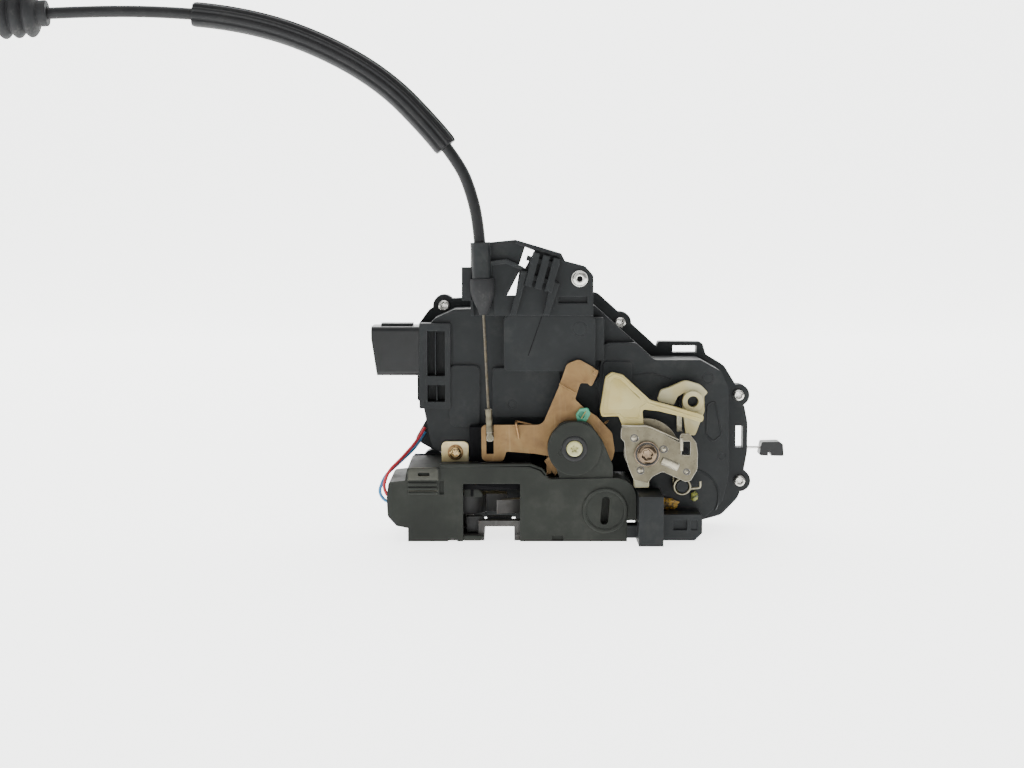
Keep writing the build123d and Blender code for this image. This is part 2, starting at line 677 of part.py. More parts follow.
def make_cable_boot():
    """Rubber boot under the guide tube, round at the top and tapering to the wire."""
    bulge = boot_top - 4.6
    with BuildPart() as cable_boot:
        with BuildSketch(Plane(origin=cable_plane(boot_bottom).origin, x_dir=cable_plane(boot_bottom).x_dir,
                               z_dir=(0, -1, 0))):
            with BuildLine():
                Polyline((guide_bore_radius, 0), (2.0, 0))
                Polyline((2.0, 0), (2.9, 4.0), (boot_radius, bulge - boot_bottom),
                         (boot_radius, bulge - boot_bottom + 1.6), (4.4, boot_top - boot_bottom - 0.05))
                Polyline((4.4, boot_top - boot_bottom - 0.05),
                         (guide_bore_radius, boot_top - boot_bottom - 0.05), (guide_bore_radius, 0))
            make_face()
        revolve(axis=Axis(cable_plane(boot_bottom).origin, cable_plane(boot_bottom).z_dir))
    return cable_boot


def make_inner_cable():
    """Straight end of the pull wire, from its ferrule up into the boot."""
    with BuildPart() as inner_cable:
        add_along_cable(wire_radius, ferrule_top, wire_top)
    return inner_cable


def make_cable_ferrule():
    """Crimped ferrule with the cross pin that sits in the lever's slot."""
    with BuildPart() as cable_ferrule:
        add_along_cable(ferrule_radius, nipple_z - 1.0, ferrule_top)
        add_disc((nipple_x, nipple_z), 1.5, cable_depth - 1.3, lever_back + side_gap - cable_depth + 1.3)
        add_disc((nipple_x, nipple_z), 2.3, lever_back + side_gap, 1.6)
    return cable_ferrule


def cable_radii(points):
    """Bend radius at each inner point of a route: 0.45 of the shorter run over tan(half turn)."""
    radii = []
    for before, here, after in zip(points, points[1:], points[2:]):
        run_in = Vector(*here) - Vector(*before)
        run_out = Vector(*after) - Vector(*here)
        turn = radians(run_in.get_angle(run_out))
        radii.append(0.45 * min(run_in.length, run_out.length) / tan(turn / 2))
    return radii


def sheath_route():
    """Centre line of the sheath from the guide tube to the handle end of the cable."""
    start = cable_plane(sheath_start).origin
    leave = cable_plane(tube_top + 8.6).origin
    return [
        tuple(start), tuple(leave),
        (-14.4, y_at(6.8), 155.0), (-19.0, y_at(7.1), 163.6), (-28.4, y_at(7.6), 176.2),
        (-50.6, y_at(8.8), 199.0), (-82.0, y_at(10.8), 216.0), (-114.0, y_at(12.6), 225.2),
        (-151.0, y_at(13.8), 228.2), (-190.0, y_at(14.2), 227.6), (-240.0, y_at(13.4), 224.4),
        (-270.0, y_at(11.0), 218.0),
    ]


def tube_along(points, radii, outer, inner=0.0):
    """Round tube swept along a route of straight runs and tangent arcs."""
    with BuildPart() as tube:
        with BuildLine() as route:
            FilletPolyline(*points, radius=radii)
        with BuildSketch(Plane(origin=route.line @ 0, z_dir=route.line % 0)):
            Circle(outer)
            if inner > 0:
                Circle(inner, mode=Mode.SUBTRACT)
        sweep()
    return tube, sum(edge.length for edge in route.edges())


def make_cable_sheath():
    """Cable sheath as one plain tube."""
    points = sheath_route()
    radii = cable_radii(points)
    print("sheath radii:", [round(radius, 1) for radius in radii])
    cable_sheath, length = tube_along(points, radii, sheath_radius)
    expected = pi * sheath_radius ** 2 * length
    print("sheath length:", round(length, 1), "volume over section x length:",
          round(cable_sheath.part.volume / expected, 4))
    return cable_sheath


def make_cable_sleeve():
    """Soft protective sleeve pushed over the curved part of the sheath."""
    points = sheath_route()
    radii = cable_radii(points)
    first, last = 4, 7
    start = Vector(*points[first - 1]) + (Vector(*points[first]) - Vector(*points[first - 1])) * 0.5
    end = Vector(*points[last]) + (Vector(*points[last + 1]) - Vector(*points[last])) * 0.5
    route = [tuple(start)] + points[first:last + 1] + [tuple(end)]
    cable_sleeve, length = tube_along(route, radii[first - 1:last], sleeve_radius,
                                      sheath_radius + running_fit)
    print("sleeve length:", round(length, 1))
    return cable_sleeve


def make_cable_grommet():
    """Bellows grommet on the sheath, plain outside: collar, body and rear collar."""
    before, after = sheath_route()[-3], sheath_route()[-2]
    along = (Vector(*after) - Vector(*before)).normalized()
    start = Vector(*before) + along * 5
    with BuildPart() as cable_grommet:
        with BuildSketch(Plane(origin=start, z_dir=along)):
            Circle(5.6)
            Circle(sheath_radius + grommet_slack, mode=Mode.SUBTRACT)
        extrude(amount=32)
        with BuildSketch(Plane(origin=start + along * 4.3, z_dir=along)):
            Circle(grommet_radius)
            Circle(sheath_radius + grommet_slack, mode=Mode.SUBTRACT)
        extrude(amount=23)
    return cable_grommet


def make_cable_end_fitting():
    """Handle end of the cable: crimped tube, bare wire and cylindrical nipple."""
    before, after = sheath_route()[-2], sheath_route()[-1]
    along = (Vector(*after) - Vector(*before)).normalized()
    end = Vector(*after)
    with BuildPart() as cable_end_fitting:
        with BuildSketch(Plane(origin=end, z_dir=along)):
            Circle(3.4)
        extrude(amount=12)
        with BuildSketch(Plane(origin=end + along * 12, z_dir=along)):
            Circle(1.0)
        extrude(amount=14)
        with BuildSketch(Plane(origin=end + along * 26, z_dir=along)):
            Circle(2.5)
        extrude(amount=6)
    return cable_end_fitting


# ================================================================ outer handle lever
def make_zinc_lever_plate():
    """Plated plate of the outer handle lever, with its window and dimples."""
    outline = [
        (51.6, 49.9), (62.1, 50.9), (64.3, 50.0), (76.6, 43.4), (77.2, 47.0), (80.9, 47.2), (84.0, 43.2),
        (84.7, 38.8), (84.6, 31.6), (81.6, 26.4), (79.4, 26.2), (69.5, 30.6), (65.2, 28.4), (63.2, 25.6),
        (57.2, 26.8), (55.0, 31.9), (53.3, 38.0), (53.0, 43.5), (51.4, 45.2),
    ]
    with BuildPart() as zinc_lever_plate:
        add_outline(outline, [1, 1.5, 2, 0.6, 1, 1.5, 1.5, 3, 3, 1.5, 1, 2, 1, 0.6, 1, 3, 3, 1, 0.6],
                    zinc_depth, zinc_thickness)
        add_block((77.7, 81.4), (37.8, 43.8), zinc_depth - 1, 5, Mode.SUBTRACT, corner=0.4)
        add_disc((outer_x, outer_z), outer_shank_radius + running_fit, zinc_depth - 1, 6, Mode.SUBTRACT)
        for dimple in ((57.9, 44.8), (70.6, 40.2), (60.2, 30.6), (80.2, 30.4)):
            add_disc(dimple, 1.2, zinc_depth, 0.8, Mode.SUBTRACT)
        add_block((69.4, 76.6), (32.4, 35.4), zinc_depth - 0.5, 0.6, turn=-24)
    return zinc_lever_plate


def make_outer_handle_lever():
    """Moulded lever with the paddle that the outer handle pushes, its arm and its foot."""
    outline = [
        (44.9, 71.4), (47.6, 73.4), (52.4, 72.2), (64.4, 61.2), (74.3, 58.6), (87.4, 54.8), (87.0, 51.6),
        (77.0, 54.4), (68.0, 56.6), (60.8, 57.4), (61.4, 50.5), (69.0, 45.0), (71.2, 38.0), (69.0, 31.0),
        (63.9, 28.0), (63.9, 23.2), (57.4, 23.2), (57.4, 28.0), (55.0, 34.0), (54.6, 44.0), (51.3, 52.6),
        (50.6, 54.4), (43.2, 54.2), (42.6, 57.0),
    ]
    corners = [1.5, 1.5, 2, 2, 2, 1.2, 1.2, 2, 1, 1, 3, 4, 4, 3, 0.4, 0.8, 0.8, 0.4, 3, 3, 1, 1, 1, 1]
    with BuildPart() as outer_handle_lever:
        add_outline(outline, corners, cream_depth, cream_thickness)
        # shallow dish in the paddle's front
        add_outline([(47.4, 70.2), (51.4, 69.8), (61.0, 61.4), (54.6, 58.6), (46.0, 57.4)],
                    1.5, cream_depth, 0.9, Mode.SUBTRACT)
        add_disc((outer_x, outer_z), outer_shank_radius + running_fit, cream_depth - 1, 7, Mode.SUBTRACT)
    return outer_handle_lever


def make_lever_backing_disc():
    """Round disc behind the outer handle lever."""
    with BuildPart() as lever_backing_disc:
        with BuildSketch(front_plane(disc_depth)):
            with Locations((outer_x, outer_z)):
                Circle(9.5)
            with BuildLine():
                start = Vector(outer_x, outer_z) + Vector(disc_radius, 0).rotate(Axis.Z, -12)
                end = Vector(outer_x, outer_z) + Vector(disc_radius, 0).rotate(Axis.Z, 112)
                Line((outer_x, outer_z), start)
                CenterArc((outer_x, outer_z), disc_radius, -12, 124)
                Line(end, (outer_x, outer_z))
            make_face()
        extrude(amount=-disc_thickness)
        add_disc((outer_x, outer_z), outer_shank_radius + running_fit, disc_depth - 1, 4, Mode.SUBTRACT)
    return lever_backing_disc


def make_shoulder_screw():
    """Shoulder screw that carries the outer handle lever."""
    washer_depth = zinc_depth - side_gap - 1.2
    centre = (outer_x, outer_z)
    with BuildPart() as shoulder_screw:
        add_disc(centre, screw_head_radius, washer_depth - 2.0, 2.0)
        fillet(shoulder_screw.edges().filter_by(GeomType.CIRCLE).sort_by(Axis.Y)[0], 0.8)
        add_disc(centre, screw_washer_radius, washer_depth, 1.2)
        add_disc(centre, outer_shank_radius, washer_depth + 1.2, boss_front - washer_depth - 1.2)
        add_disc(centre, outer_shank_radius - 0.6, boss_front, 9)
        with BuildSketch(front_plane(washer_depth - 2.0)):
            with Locations(centre):
                RegularPolygon(2.0, 6)
        extrude(amount=-1.5, mode=Mode.SUBTRACT)
    return shoulder_screw


def make_hook_lever():
    """Moulded hook lever: crescent, boss with its bore, and the leg that hangs from it."""
    outline = [
        (67.7, 60.4), (69.2, 65.0), (73.2, 66.3), (80.0, 69.4), (86.6, 67.4), (89.8, 64.1), (88.2, 62.4),
        (88.4, 56.0), (84.4, 45.2), (80.2, 45.6), (79.2, 54.5), (78.7, 60.5), (79.8, 64.2), (76.6, 62.2),
        (75.0, 58.6),
    ]
    corners = [1, 2, 1.5, 5, 3, 0.8, 0.5, 3, 1, 1, 3, 2, 0.5, 2, 1]
    with BuildPart() as hook_lever:
        add_outline(outline, corners, hook_depth, hook_thickness)
        add_disc((hook_x, hook_z), hook_boss_radius, disc_depth + side_gap, hook_depth - disc_depth)
        add_disc((hook_x, hook_z), hook_bore_radius, 0, 15, Mode.SUBTRACT)
    return hook_lever


def make_hook_blade_spring():
    """Steel blade spring beside the hook lever's leg."""
    with BuildPart() as hook_blade_spring:
        add_block((76.5, 78.7), (46.8, 55.2), bulge_front - 6, 0.8)
        add_block((76.5, 78.7), (54.4, 55.2), bulge_front - 6, 6)
    return hook_blade_spring


def make_outer_lever_spring():
    """Torsion spring below the outer handle lever: coils as one sleeve, and two legs."""
    depth = 8.4
    with BuildPart() as outer_lever_spring:
        add_disc(return_spring_place, return_spring_bore + 1.2, depth, 4.8)
        add_disc(return_spring_place, return_spring_bore, depth, 4.8, Mode.SUBTRACT)
        add_block((82.6, 87.4), (21.6, 22.8), depth, 1.2)
        add_block((86.2, 87.4), (21.6, 25.0), depth, 1.2)
        add_block((74.9, 76.1), (22.4, 28.0), depth + 3.6, 1.2)
    return outer_lever_spring


# ================================================================ housing
rim_outline = [
    (-38.4, 57.5), (-38.4, 91.0), (-33.0, 98.4), (-24.0, 103.4), (43.0, 106.2), (70.0, 81.8),
    (70.6, 84.0), (90.6, 83.8), (92.2, 78.2), (100.6, 73.2), (105.6, 65.0), (110.2, 54.0), (111.6, 47.0),
    (111.6, 34.0), (108.0, 13.0), (100.0, 4.6), (91.0, 2.2), (62.0, 2.2), (58.0, 8.0), (58.0, 34.0),
    (-30.0, 34.0), (-34.4, 36.4), (-39.6, 39.4), (-34.6, 48.0), (-34.6, 55.0),
]
rim_corners = [1, 4, 4, 4, 4, 0, 1, 2, 2, 6, 6, 2, 2, 3, 8, 6, 4, 4, 3, 3, 2, 1, 1.2, 2, 1]
body_outline = [
    (-34.5, 56.0), (-34.5, 90.0), (-29.5, 95.6), (-21.0, 99.6), (40.6, 101.6), (67.2, 77.6),
    (87.4, 77.6), (96.4, 72.6), (99.6, 66.0), (100.2, 27.0), (97.6, 15.0), (89.0, 7.0), (64.6, 7.0),
    (60.6, 11.0), (60.6, 37.0), (-29.8, 37.0), (-31.4, 41.0),
]


def inset(points, amount, radius):
    """Rounded face inside an outline, smaller all round by the given amount."""
    with BuildSketch() as shape:
        with BuildLine():
            if radius < sharp_below:
                Polyline(*points, close=True)
            else:
                FilletPolyline(*points, radius=radius, close=True)
        make_face()
        offset(amount=-amount, kind=Kind.INTERSECTION)
    return shape.sketch


def add_inset(points, amount, radius, depth, thickness, mode=Mode.ADD):
    """Plate with the inset of an outline, from a depth towards the rear."""
    with BuildSketch(front_plane(depth)) as shape:
        add(inset(points, amount, radius))
    extrude(shape.sketch, amount=-thickness, mode=mode)


def make_front_housing():
    """Front shell of the housing, with motor box, lever bosses, rim and screw lobes."""
    bulge = [
        (43.0, 74.0), (43.0, 37.0), (60.6, 37.0), (60.6, 11.0), (64.6, 7.0), (89.0, 7.0), (97.6, 15.0),
        (100.2, 27.0), (99.6, 66.0), (96.4, 72.6), (87.4, 77.6), (67.2, 77.6), (58.8, 85.2), (45.0, 85.2),
    ]
    motor_box = [(1.0, 73.2), (40.8, 73.2), (40.8, 97.4), (1.0, 97.4)]
    screw_boss = (outer_x, outer_z)
    with BuildPart() as front_housing:
        # main body, rim and screw lobes
        add_outline(body_outline, 3, housing_front, gasket_depth - housing_front)
        add_outline(rim_outline, rim_corners, rim_depth, rim_thickness)
        for place in cover_screw_places:
            add_disc(place, lobe_radius, rim_depth, rim_thickness)
        # raised fronts: lever wall, motor box, lower panel and frame at the left
        add_outline(bulge, 2.5, bulge_front, housing_front - bulge_front)
        add_outline(motor_box, 2.5, motor_box_front, housing_front - motor_box_front)
        add_block((40.0, 44.8), (77.6, 96.4), motor_box_front + 2.5, 8, corner=1.0)
        add_outline([(-4.0, 52.2), (25.6, 52.2), (25.6, 74), (-4.0, 74)], 1.5, housing_front - 2.4, 2.4)
        add_outline([(-23.0, 48.0), (-9.7, 48.0), (-9.7, 75.0), (-23.0, 75.0)], 2.5,
                    housing_front - 1.4, 1.4)
        add_block((-36.3, -22.6), (56.0, 93.6), housing_front - 2.4, 8, corner=0.8)
        # lug behind the cable bracket
        add_outline([(24.0, 95.0), (39.8, 95.0), (39.8, 112.0), (36.0, 118.0), (26.0, 118.0)], 2,
                    cable_depth + 7.5, 9.0)
        # hollow inside
        floor = housing_front + housing_wall
        add_inset(body_outline, housing_wall, 0, floor, 40, Mode.SUBTRACT)
        add_inset(bulge, housing_wall, 0, bulge_front + housing_wall, 6, Mode.SUBTRACT)
        add_inset(motor_box, housing_wall, 0, motor_box_front + housing_wall, 12, Mode.SUBTRACT)
        # solid frame behind the windows at the left
        add_outline([(-34.5, 57.0), (-22.9, 57.0), (-22.9, 97.0), (-29.5, 95.6), (-34.5, 90.0)],
                    0.5, housing_front, 12)
        add_block((-32.7, -25.0), (70.4, 90.2), housing_front - 3, 7, Mode.SUBTRACT, corner=0.6)
        add_block((-32.7, -25.0), (59.0, 66.4), housing_front - 3, 7, Mode.SUBTRACT, corner=0.6)
        # motor cradle
        for left in (9.0, 26.0):
            add_block((left, left + 2.0), (75.4, 92.0), motor_box_front + 1, drive_plane - motor_box_front)
        add_bar((motor_axis_z, drive_plane), motor_radius + running_fit, 8, 30, Mode.SUBTRACT)
        # bearing wall of the worm
        add_block((worm_right + side_gap, worm_right + side_gap + 2.2), (81.6, 86.4), floor - 1, 16)
        add_bar((motor_axis_z, drive_plane), motor_shaft_radius + running_fit, 50, 56, Mode.SUBTRACT)
        # boss of the drive wheel's pin
        add_disc((wheel_x, wheel_z), 4.0, bulge_front + 1, drive_plane - wheel_width / 2 - side_gap
                 - bulge_front - 1)
        add_disc((wheel_x, wheel_z), wheel_pin_radius + running_fit, bulge_front + 3, 30, Mode.SUBTRACT)
        # bosses in front of the wall: shoulder screw, hook pivot, spring post, panel rim
        add_disc(screw_boss, 6.0, boss_front, bulge_front - boss_front + 6)
        add_disc(screw_boss, outer_shank_radius - 0.6 + running_fit, boss_front, 9.5, Mode.SUBTRACT)
        add_disc((hook_x, hook_z), 5.6, hook_depth + hook_thickness + side_gap,
                 bulge_front - hook_depth - hook_thickness)
        add_disc((hook_x, hook_z), hook_bore_radius - running_fit, hook_depth + 1.2, bulge_front - hook_depth)
        add_disc(return_spring_place, return_spring_bore - side_gap, 9.0, bulge_front - 8)
        add_block((44.6, 57.0), (54.0, 77.0), bulge_front - 1.0, 1.2, corner=1.5)
        # box at the lower right that stands beside the guide block
        add_outline([(69.6, 0), (84.0, 0), (87.2, 3.2), (87.2, 11.4), (69.6, 11.4)], [0.5, 0.5, 0.5, 0.8, 0.8],
                    2.0, housing_front)
        add_block((74.6, 80.6), (4.6, 9.0), 1.0, 2.6, Mode.SUBTRACT, corner=0.5)
        add_block((82.2, 85.2), (4.6, 9.0), 1.0, 1.6, Mode.SUBTRACT)
        # windows in the rim, and the screw holes
        add_block((77.2, 88.0), (79.0, 82.2), rim_depth - 1, 6, Mode.SUBTRACT)
        add_block((106.2, 109.6), (35.6, 45.6), rim_depth - 1, 6, Mode.SUBTRACT)
        for place in cover_screw_places:
            add_disc(place, screw_head + side_gap, rim_depth - 4, 4, Mode.SUBTRACT)
            add_disc(place, screw_shank + 0.1, rim_depth - 1, 6, Mode.SUBTRACT)
        add_disc((tab_screw_x, tab_screw_z + 1.6), 4.6, housing_front, housing_wall + 6)
        add_disc((tab_screw_x, tab_screw_z), screw_shank + running_fit, housing_front - 1, 9, Mode.SUBTRACT)
        add_disc(bracket_screw_place, screw_shank + running_fit, 10, 12, Mode.SUBTRACT)
    return front_housing


def make_housing_gasket():
    """Flat gasket between the two halves of the housing."""
    with BuildPart() as housing_gasket:
        add_outline(body_outline, 3, gasket_depth, gasket_thickness)
        add_inset(body_outline, housing_wall, 0, gasket_depth, gasket_thickness, Mode.SUBTRACT)
    return housing_gasket


def make_rear_cover():
    """Rear shell of the housing: flange, tub with ribs, slider rail and screw bosses."""
    with BuildPart() as rear_cover:
        add_inset(body_outline, 0.6, 3, tub_front, tub_depth - tub_front)
        chamfer(rear_cover.faces().sort_by(Axis.Y)[-1].edges(), 1.6)
        add_outline(rim_outline, rim_corners, flange_depth, flange_thickness)
        for place in cover_screw_places:
            add_disc(place, lobe_radius, flange_depth, flange_thickness)
            add_disc(place, lobe_radius - 1.4, flange_depth, 8)
        add_inset(body_outline, housing_wall + 0.6, 0, flange_depth, tub_depth - flange_depth - housing_wall,
                  Mode.SUBTRACT)
        # rail under the lock slider and the rear seat of the wheel's pin
        floor = tub_depth - housing_wall
        add_block((30.0, 74.0), (rack_z - 8.6, rack_z - 6.3), slider_front + 1, floor - slider_front)
        add_disc((wheel_x, wheel_z), 3.6, pinion_end + side_gap, floor - pinion_end)
        add_disc((wheel_x, wheel_z), wheel_pin_radius + running_fit, pinion_end - 1, 2.6, Mode.SUBTRACT)
        # shallow stiffening ribs on the outside
        for x in (-12.0, 12.0, 70.0, 86.0):
            add_block((x - 0.8, x + 0.8), (44.0, 74.0), tub_depth, 1.0)
        # exit of the lock rod
        add_bar((rod_z, rod_depth), rod_radius + 0.9, 92, 104, Mode.SUBTRACT)
        for place in cover_screw_places:
            add_disc(place, screw_shank + running_fit, flange_depth - 1, 8, Mode.SUBTRACT)
        # windows that continue those of the rim
        add_block((77.2, 88.0), (79.0, 82.2), flange_depth - 1, 6, Mode.SUBTRACT)
        add_block((106.2, 109.6), (35.6, 45.6), flange_depth - 1, 6, Mode.SUBTRACT)
    return rear_cover


def make_pan_screw(centre, depth, length):
    """One pan-head screw with a socket, its head towards the viewer."""
    add_disc(centre, screw_head, depth - screw_head_height, screw_head_height)
    add_disc(centre, screw_shank, depth, length)
    with BuildSketch(front_plane(depth - screw_head_height)) as socket:
        with Locations(centre):
            RegularPolygon(1.3, 6)
    extrude(socket.sketch, amount=-1.1, mode=Mode.SUBTRACT)


def make_cover_screws():
    """Screws that hold the two halves of the housing together."""
    with BuildPart() as cover_screws:
        for place in cover_screw_places:
            make_pan_screw(place, rim_depth, 11)
    return cover_screws


def make_tab_screw():
    """Screw through the latch's plated tab."""
    with BuildPart() as tab_screw:
        make_pan_screw((tab_screw_x, tab_screw_z), housing_front - 2, 9)
    return tab_screw


def make_bracket_screw():
    """Washer-head screw that holds the cable bracket to the housing's lug."""
    plate_front = cable_depth + 3.5
    with BuildPart() as bracket_screw:
        add_disc(bracket_screw_place, 3.6, plate_front - 0.9, 0.9)
        make_pan_screw(bracket_screw_place, plate_front - 0.9, 11)
    return bracket_screw


# ================================================================ connector and wiring
def make_connector_shell():
    """Open-mouthed plug socket at the left of the housing."""
    left, right = -57.4, -36.3
    depth, width = 18.0, 20.0
    bottom, top = 70.5, 92.1
    centre = (y_at(depth + width / 2), (bottom + top) / 2)
    with BuildPart() as connector_shell:
        with BuildSketch(Plane.YZ.offset(left)):
            with Locations(centre):
                RectangleRounded(width, top - bottom, 2.0)
        extrude(amount=right - left)
        with BuildSketch(Plane.YZ.offset(left)):
            with Locations(centre):
                RectangleRounded(width - 3.2, top - bottom - 3.2, 1.0)
        extrude(amount=16.4, mode=Mode.SUBTRACT)
        # the mouth leans back towards the bottom
        add_outline([(left - 1, bottom - 1), (left + 2.6, bottom - 1), (left - 0.2, top - 4), (left - 1, top - 4)],
                    0, depth - 1, width + 2, Mode.SUBTRACT)
        # keying rib along the top
        add_block((left + 4, left + 18), (top, top + 1.2), depth + 6, 8)
    return connector_shell


def make_connector_pins():
    """Flat contact pins of the plug socket, in two rows."""
    with BuildPart() as connector_pins:
        for row in (-1, 1):
            for column in range(4):
                depth = 22.2 + 3.9 * column
                middle = 81.3 + 3.6 * row
                add_block((-50.0, -41.0), (middle - 0.4, middle + 0.4), depth - 0.6, 1.2)
    return connector_pins


def wire_route(points, radius):
    """Thin insulated wire along a route of straight runs and tangent arcs."""
    radii = cable_radii(points)
    print("wire radii:", [round(value, 1) for value in radii])
    tube, length = tube_along(points, radii, radius)
    print("wire length:", round(length, 1))
    return tube


wire_end_x = -46.9
lead_radius = 0.7


def make_red_wire():
    """Red wire from the housing to the door switch."""
    return wire_route([
        (-34.6, y_at(31.0), 46.0), (-38.6, y_at(27.6), 39.6), (-44.6, y_at(25.6), 33.0),
        (-50.8, y_at(24.8), 27.0), (-53.0, y_at(24.6), 20.2), (-51.0, y_at(24.6), 15.6),
        (wire_end_x, y_at(24.6), 15.0),
    ], lead_radius)


def make_blue_wire():
    """Blue wire beside the red one."""
    return wire_route([
        (-34.6, y_at(33.0), 43.8), (-38.8, y_at(29.6), 37.2), (-46.0, y_at(27.4), 30.6),
        (-52.6, y_at(26.8), 24.6), (-55.2, y_at(26.6), 17.4), (-52.4, y_at(26.6), 13.2),
        (wire_end_x, y_at(26.6), 12.4),
    ], lead_radius)


# ================================================================ lock drive
def make_lock_motor():
    """Motor can with its flats, end boss and shaft."""
    axis = (motor_axis_z, drive_plane)
    with BuildPart() as lock_motor:
        add_bar(axis, motor_radius, motor_left, motor_right)
        add_bar(axis, 2.6, motor_right, motor_right + 1.6)
        add_bar(axis, motor_shaft_radius, motor_right, worm_right + side_gap + 2.0)
    return lock_motor


def make_worm():
    """Single-start worm on the motor's shaft."""
    pitch = pi * module
    root = worm_pitch_radius - 1.1
    tip = worm_pitch_radius + module
    start = wheel_x - 2 * pitch      # a groove then lies over the wheel's middle
    axis_point = Vector(start, y_at(drive_plane), motor_axis_z)
    with BuildPart() as worm:
        add_bar((motor_axis_z, drive_plane), root, worm_left, worm_right)
        with BuildLine() as thread:
            Helix(pitch, 3 * pitch, root, center=axis_point, direction=(1, 0, 0))
        radial = (thread.line @ 0 - axis_point).normalized()
        along = (thread.line % 0).normalized()
        with BuildSketch(Plane(origin=thread.line @ 0, x_dir=radial.cross(along), z_dir=along)):
            with BuildLine():
                Polyline((-0.95, -0.1), (0.95, -0.1), (0.19, tip - root), (-0.19, tip - root), close=True)
            make_face()
        sweep(path=thread.line, is_frenet=True)
        add_bar((motor_axis_z, drive_plane), motor_shaft_radius + running_fit, worm_left - 1,
                worm_right + 1, Mode.SUBTRACT)
    return worm


def add_gear(teeth, pitch_radius, root, tip, half_widths, start_angle, depth, thickness):
    """Spur gear at the wheel's centre; half_widths are the tooth's at root and tip."""
    with BuildSketch(front_plane(depth)) as gear:
        with Locations((wheel_x, wheel_z)):
            Circle(root)
            with PolarLocations(pitch_radius, teeth, start_angle=start_angle):
                Polygon((root - 0.3 - pitch_radius, -half_widths[0]), (tip - pitch_radius, -half_widths[1]),
                        (tip - pitch_radius, half_widths[1]), (root - 0.3 - pitch_radius, half_widths[0]),
                        align=None)
    extrude(gear.sketch, amount=-thickness)


def make_drive_wheel():
    """Worm wheel with its pinion in one piece."""
    with BuildPart() as drive_wheel:
        add_gear(wheel_teeth, wheel_pitch_radius, wheel_pitch_radius - 1.25, wheel_pitch_radius + 0.85,
                 (1.0, 0.3), 90, drive_plane - wheel_width / 2, wheel_width)
        add_gear(pinion_teeth, pinion_pitch_radius, pinion_pitch_radius - 1.25, pinion_pitch_radius + 0.95,
                 (0.95, 0.28), -90, drive_plane + wheel_width / 2, pinion_end - drive_plane - wheel_width / 2)
        add_disc((wheel_x, wheel_z), wheel_pin_radius + running_fit, 20, 40, Mode.SUBTRACT)
    return drive_wheel


def make_wheel_pin():
    """Steel pin that the drive wheel turns on."""
    with BuildPart() as wheel_pin:
        add_disc((wheel_x, wheel_z), wheel_pin_radius, bulge_front + 3.2, pinion_end + 1.4 - bulge_front - 3.2)
    return wheel_pin


def make_lock_slider():
    """Slider with the rack below the pinion and the arm that carries the lock rod."""
    pitch = pi * module
    teeth = 9
    bar_bottom = rack_z - 6.0
    bar_top = rack_z - 1.25
    with BuildPart() as lock_slider:
        add_outline([(32.0, bar_bottom), (79.0, bar_bottom), (79.0, 31.0), (86.5, 31.0), (86.5, bar_top),
                     (32.0, bar_top)], [0.5, 0, 0.5, 0.5, 2, 0.5], slider_front, slider_back - slider_front)
        with BuildSketch(front_plane(slider_front)) as rack:
            for index in range(teeth):
                x = wheel_x + (index - (teeth - 1) / 2 + 0.5) * pitch
                with Locations((x, rack_z)):
                    Polygon((-0.98, -1.5), (0.98, -1.5), (0.26, 0.95), (-0.26, 0.95), align=None)
        extrude(rack.sketch, amount=-(pinion_end - slider_front))
        add_bar((rod_z, rod_depth), rod_radius + running_fit, 80, 90, Mode.SUBTRACT)
    return lock_slider


def make_lock_rod():
    """Steel rod from the slider out through the rear cover."""
    with BuildPart() as lock_rod:
        add_bar((rod_z, rod_depth), rod_radius, 80.2, 122)
    return lock_rod


def make_rod_clip():
    """Plastic clip on the end of the lock rod."""
    with BuildPart() as rod_clip:
        add_outline([(118.1, 31.0), (129.4, 30.7), (129.0, 36.2), (127.2, 37.4), (119.2, 37.2)],
                    0.8, rod_depth - 4, 8)
        add_bar((rod_z, rod_depth), rod_radius + running_fit, 117, 122.1, Mode.SUBTRACT)
        add_block((122.2, 123.6), (30, 32.4), rod_depth - 5, 10, Mode.SUBTRACT)
    return rod_clip


def make_circuit_carrier():
    """Carrier plate inside the housing that joins the connector to the switches."""
    with BuildPart() as circuit_carrier:
        add_block((-14.0, 28.0), (44.0, 70.0), housing_front + housing_wall, 1.6, corner=1.0)
    return circuit_carrier


def make_lock_switches():
    """Two small switches on the carrier plate."""
    carrier_back = housing_front + housing_wall + 1.6
    with BuildPart() as lock_switches:
        add_block((-11.0, 2.0), (48.0, 54.0), carrier_back, 6.4)
        add_block((8.0, 21.0), (58.0, 64.0), carrier_back, 6.4)
    return lock_switches


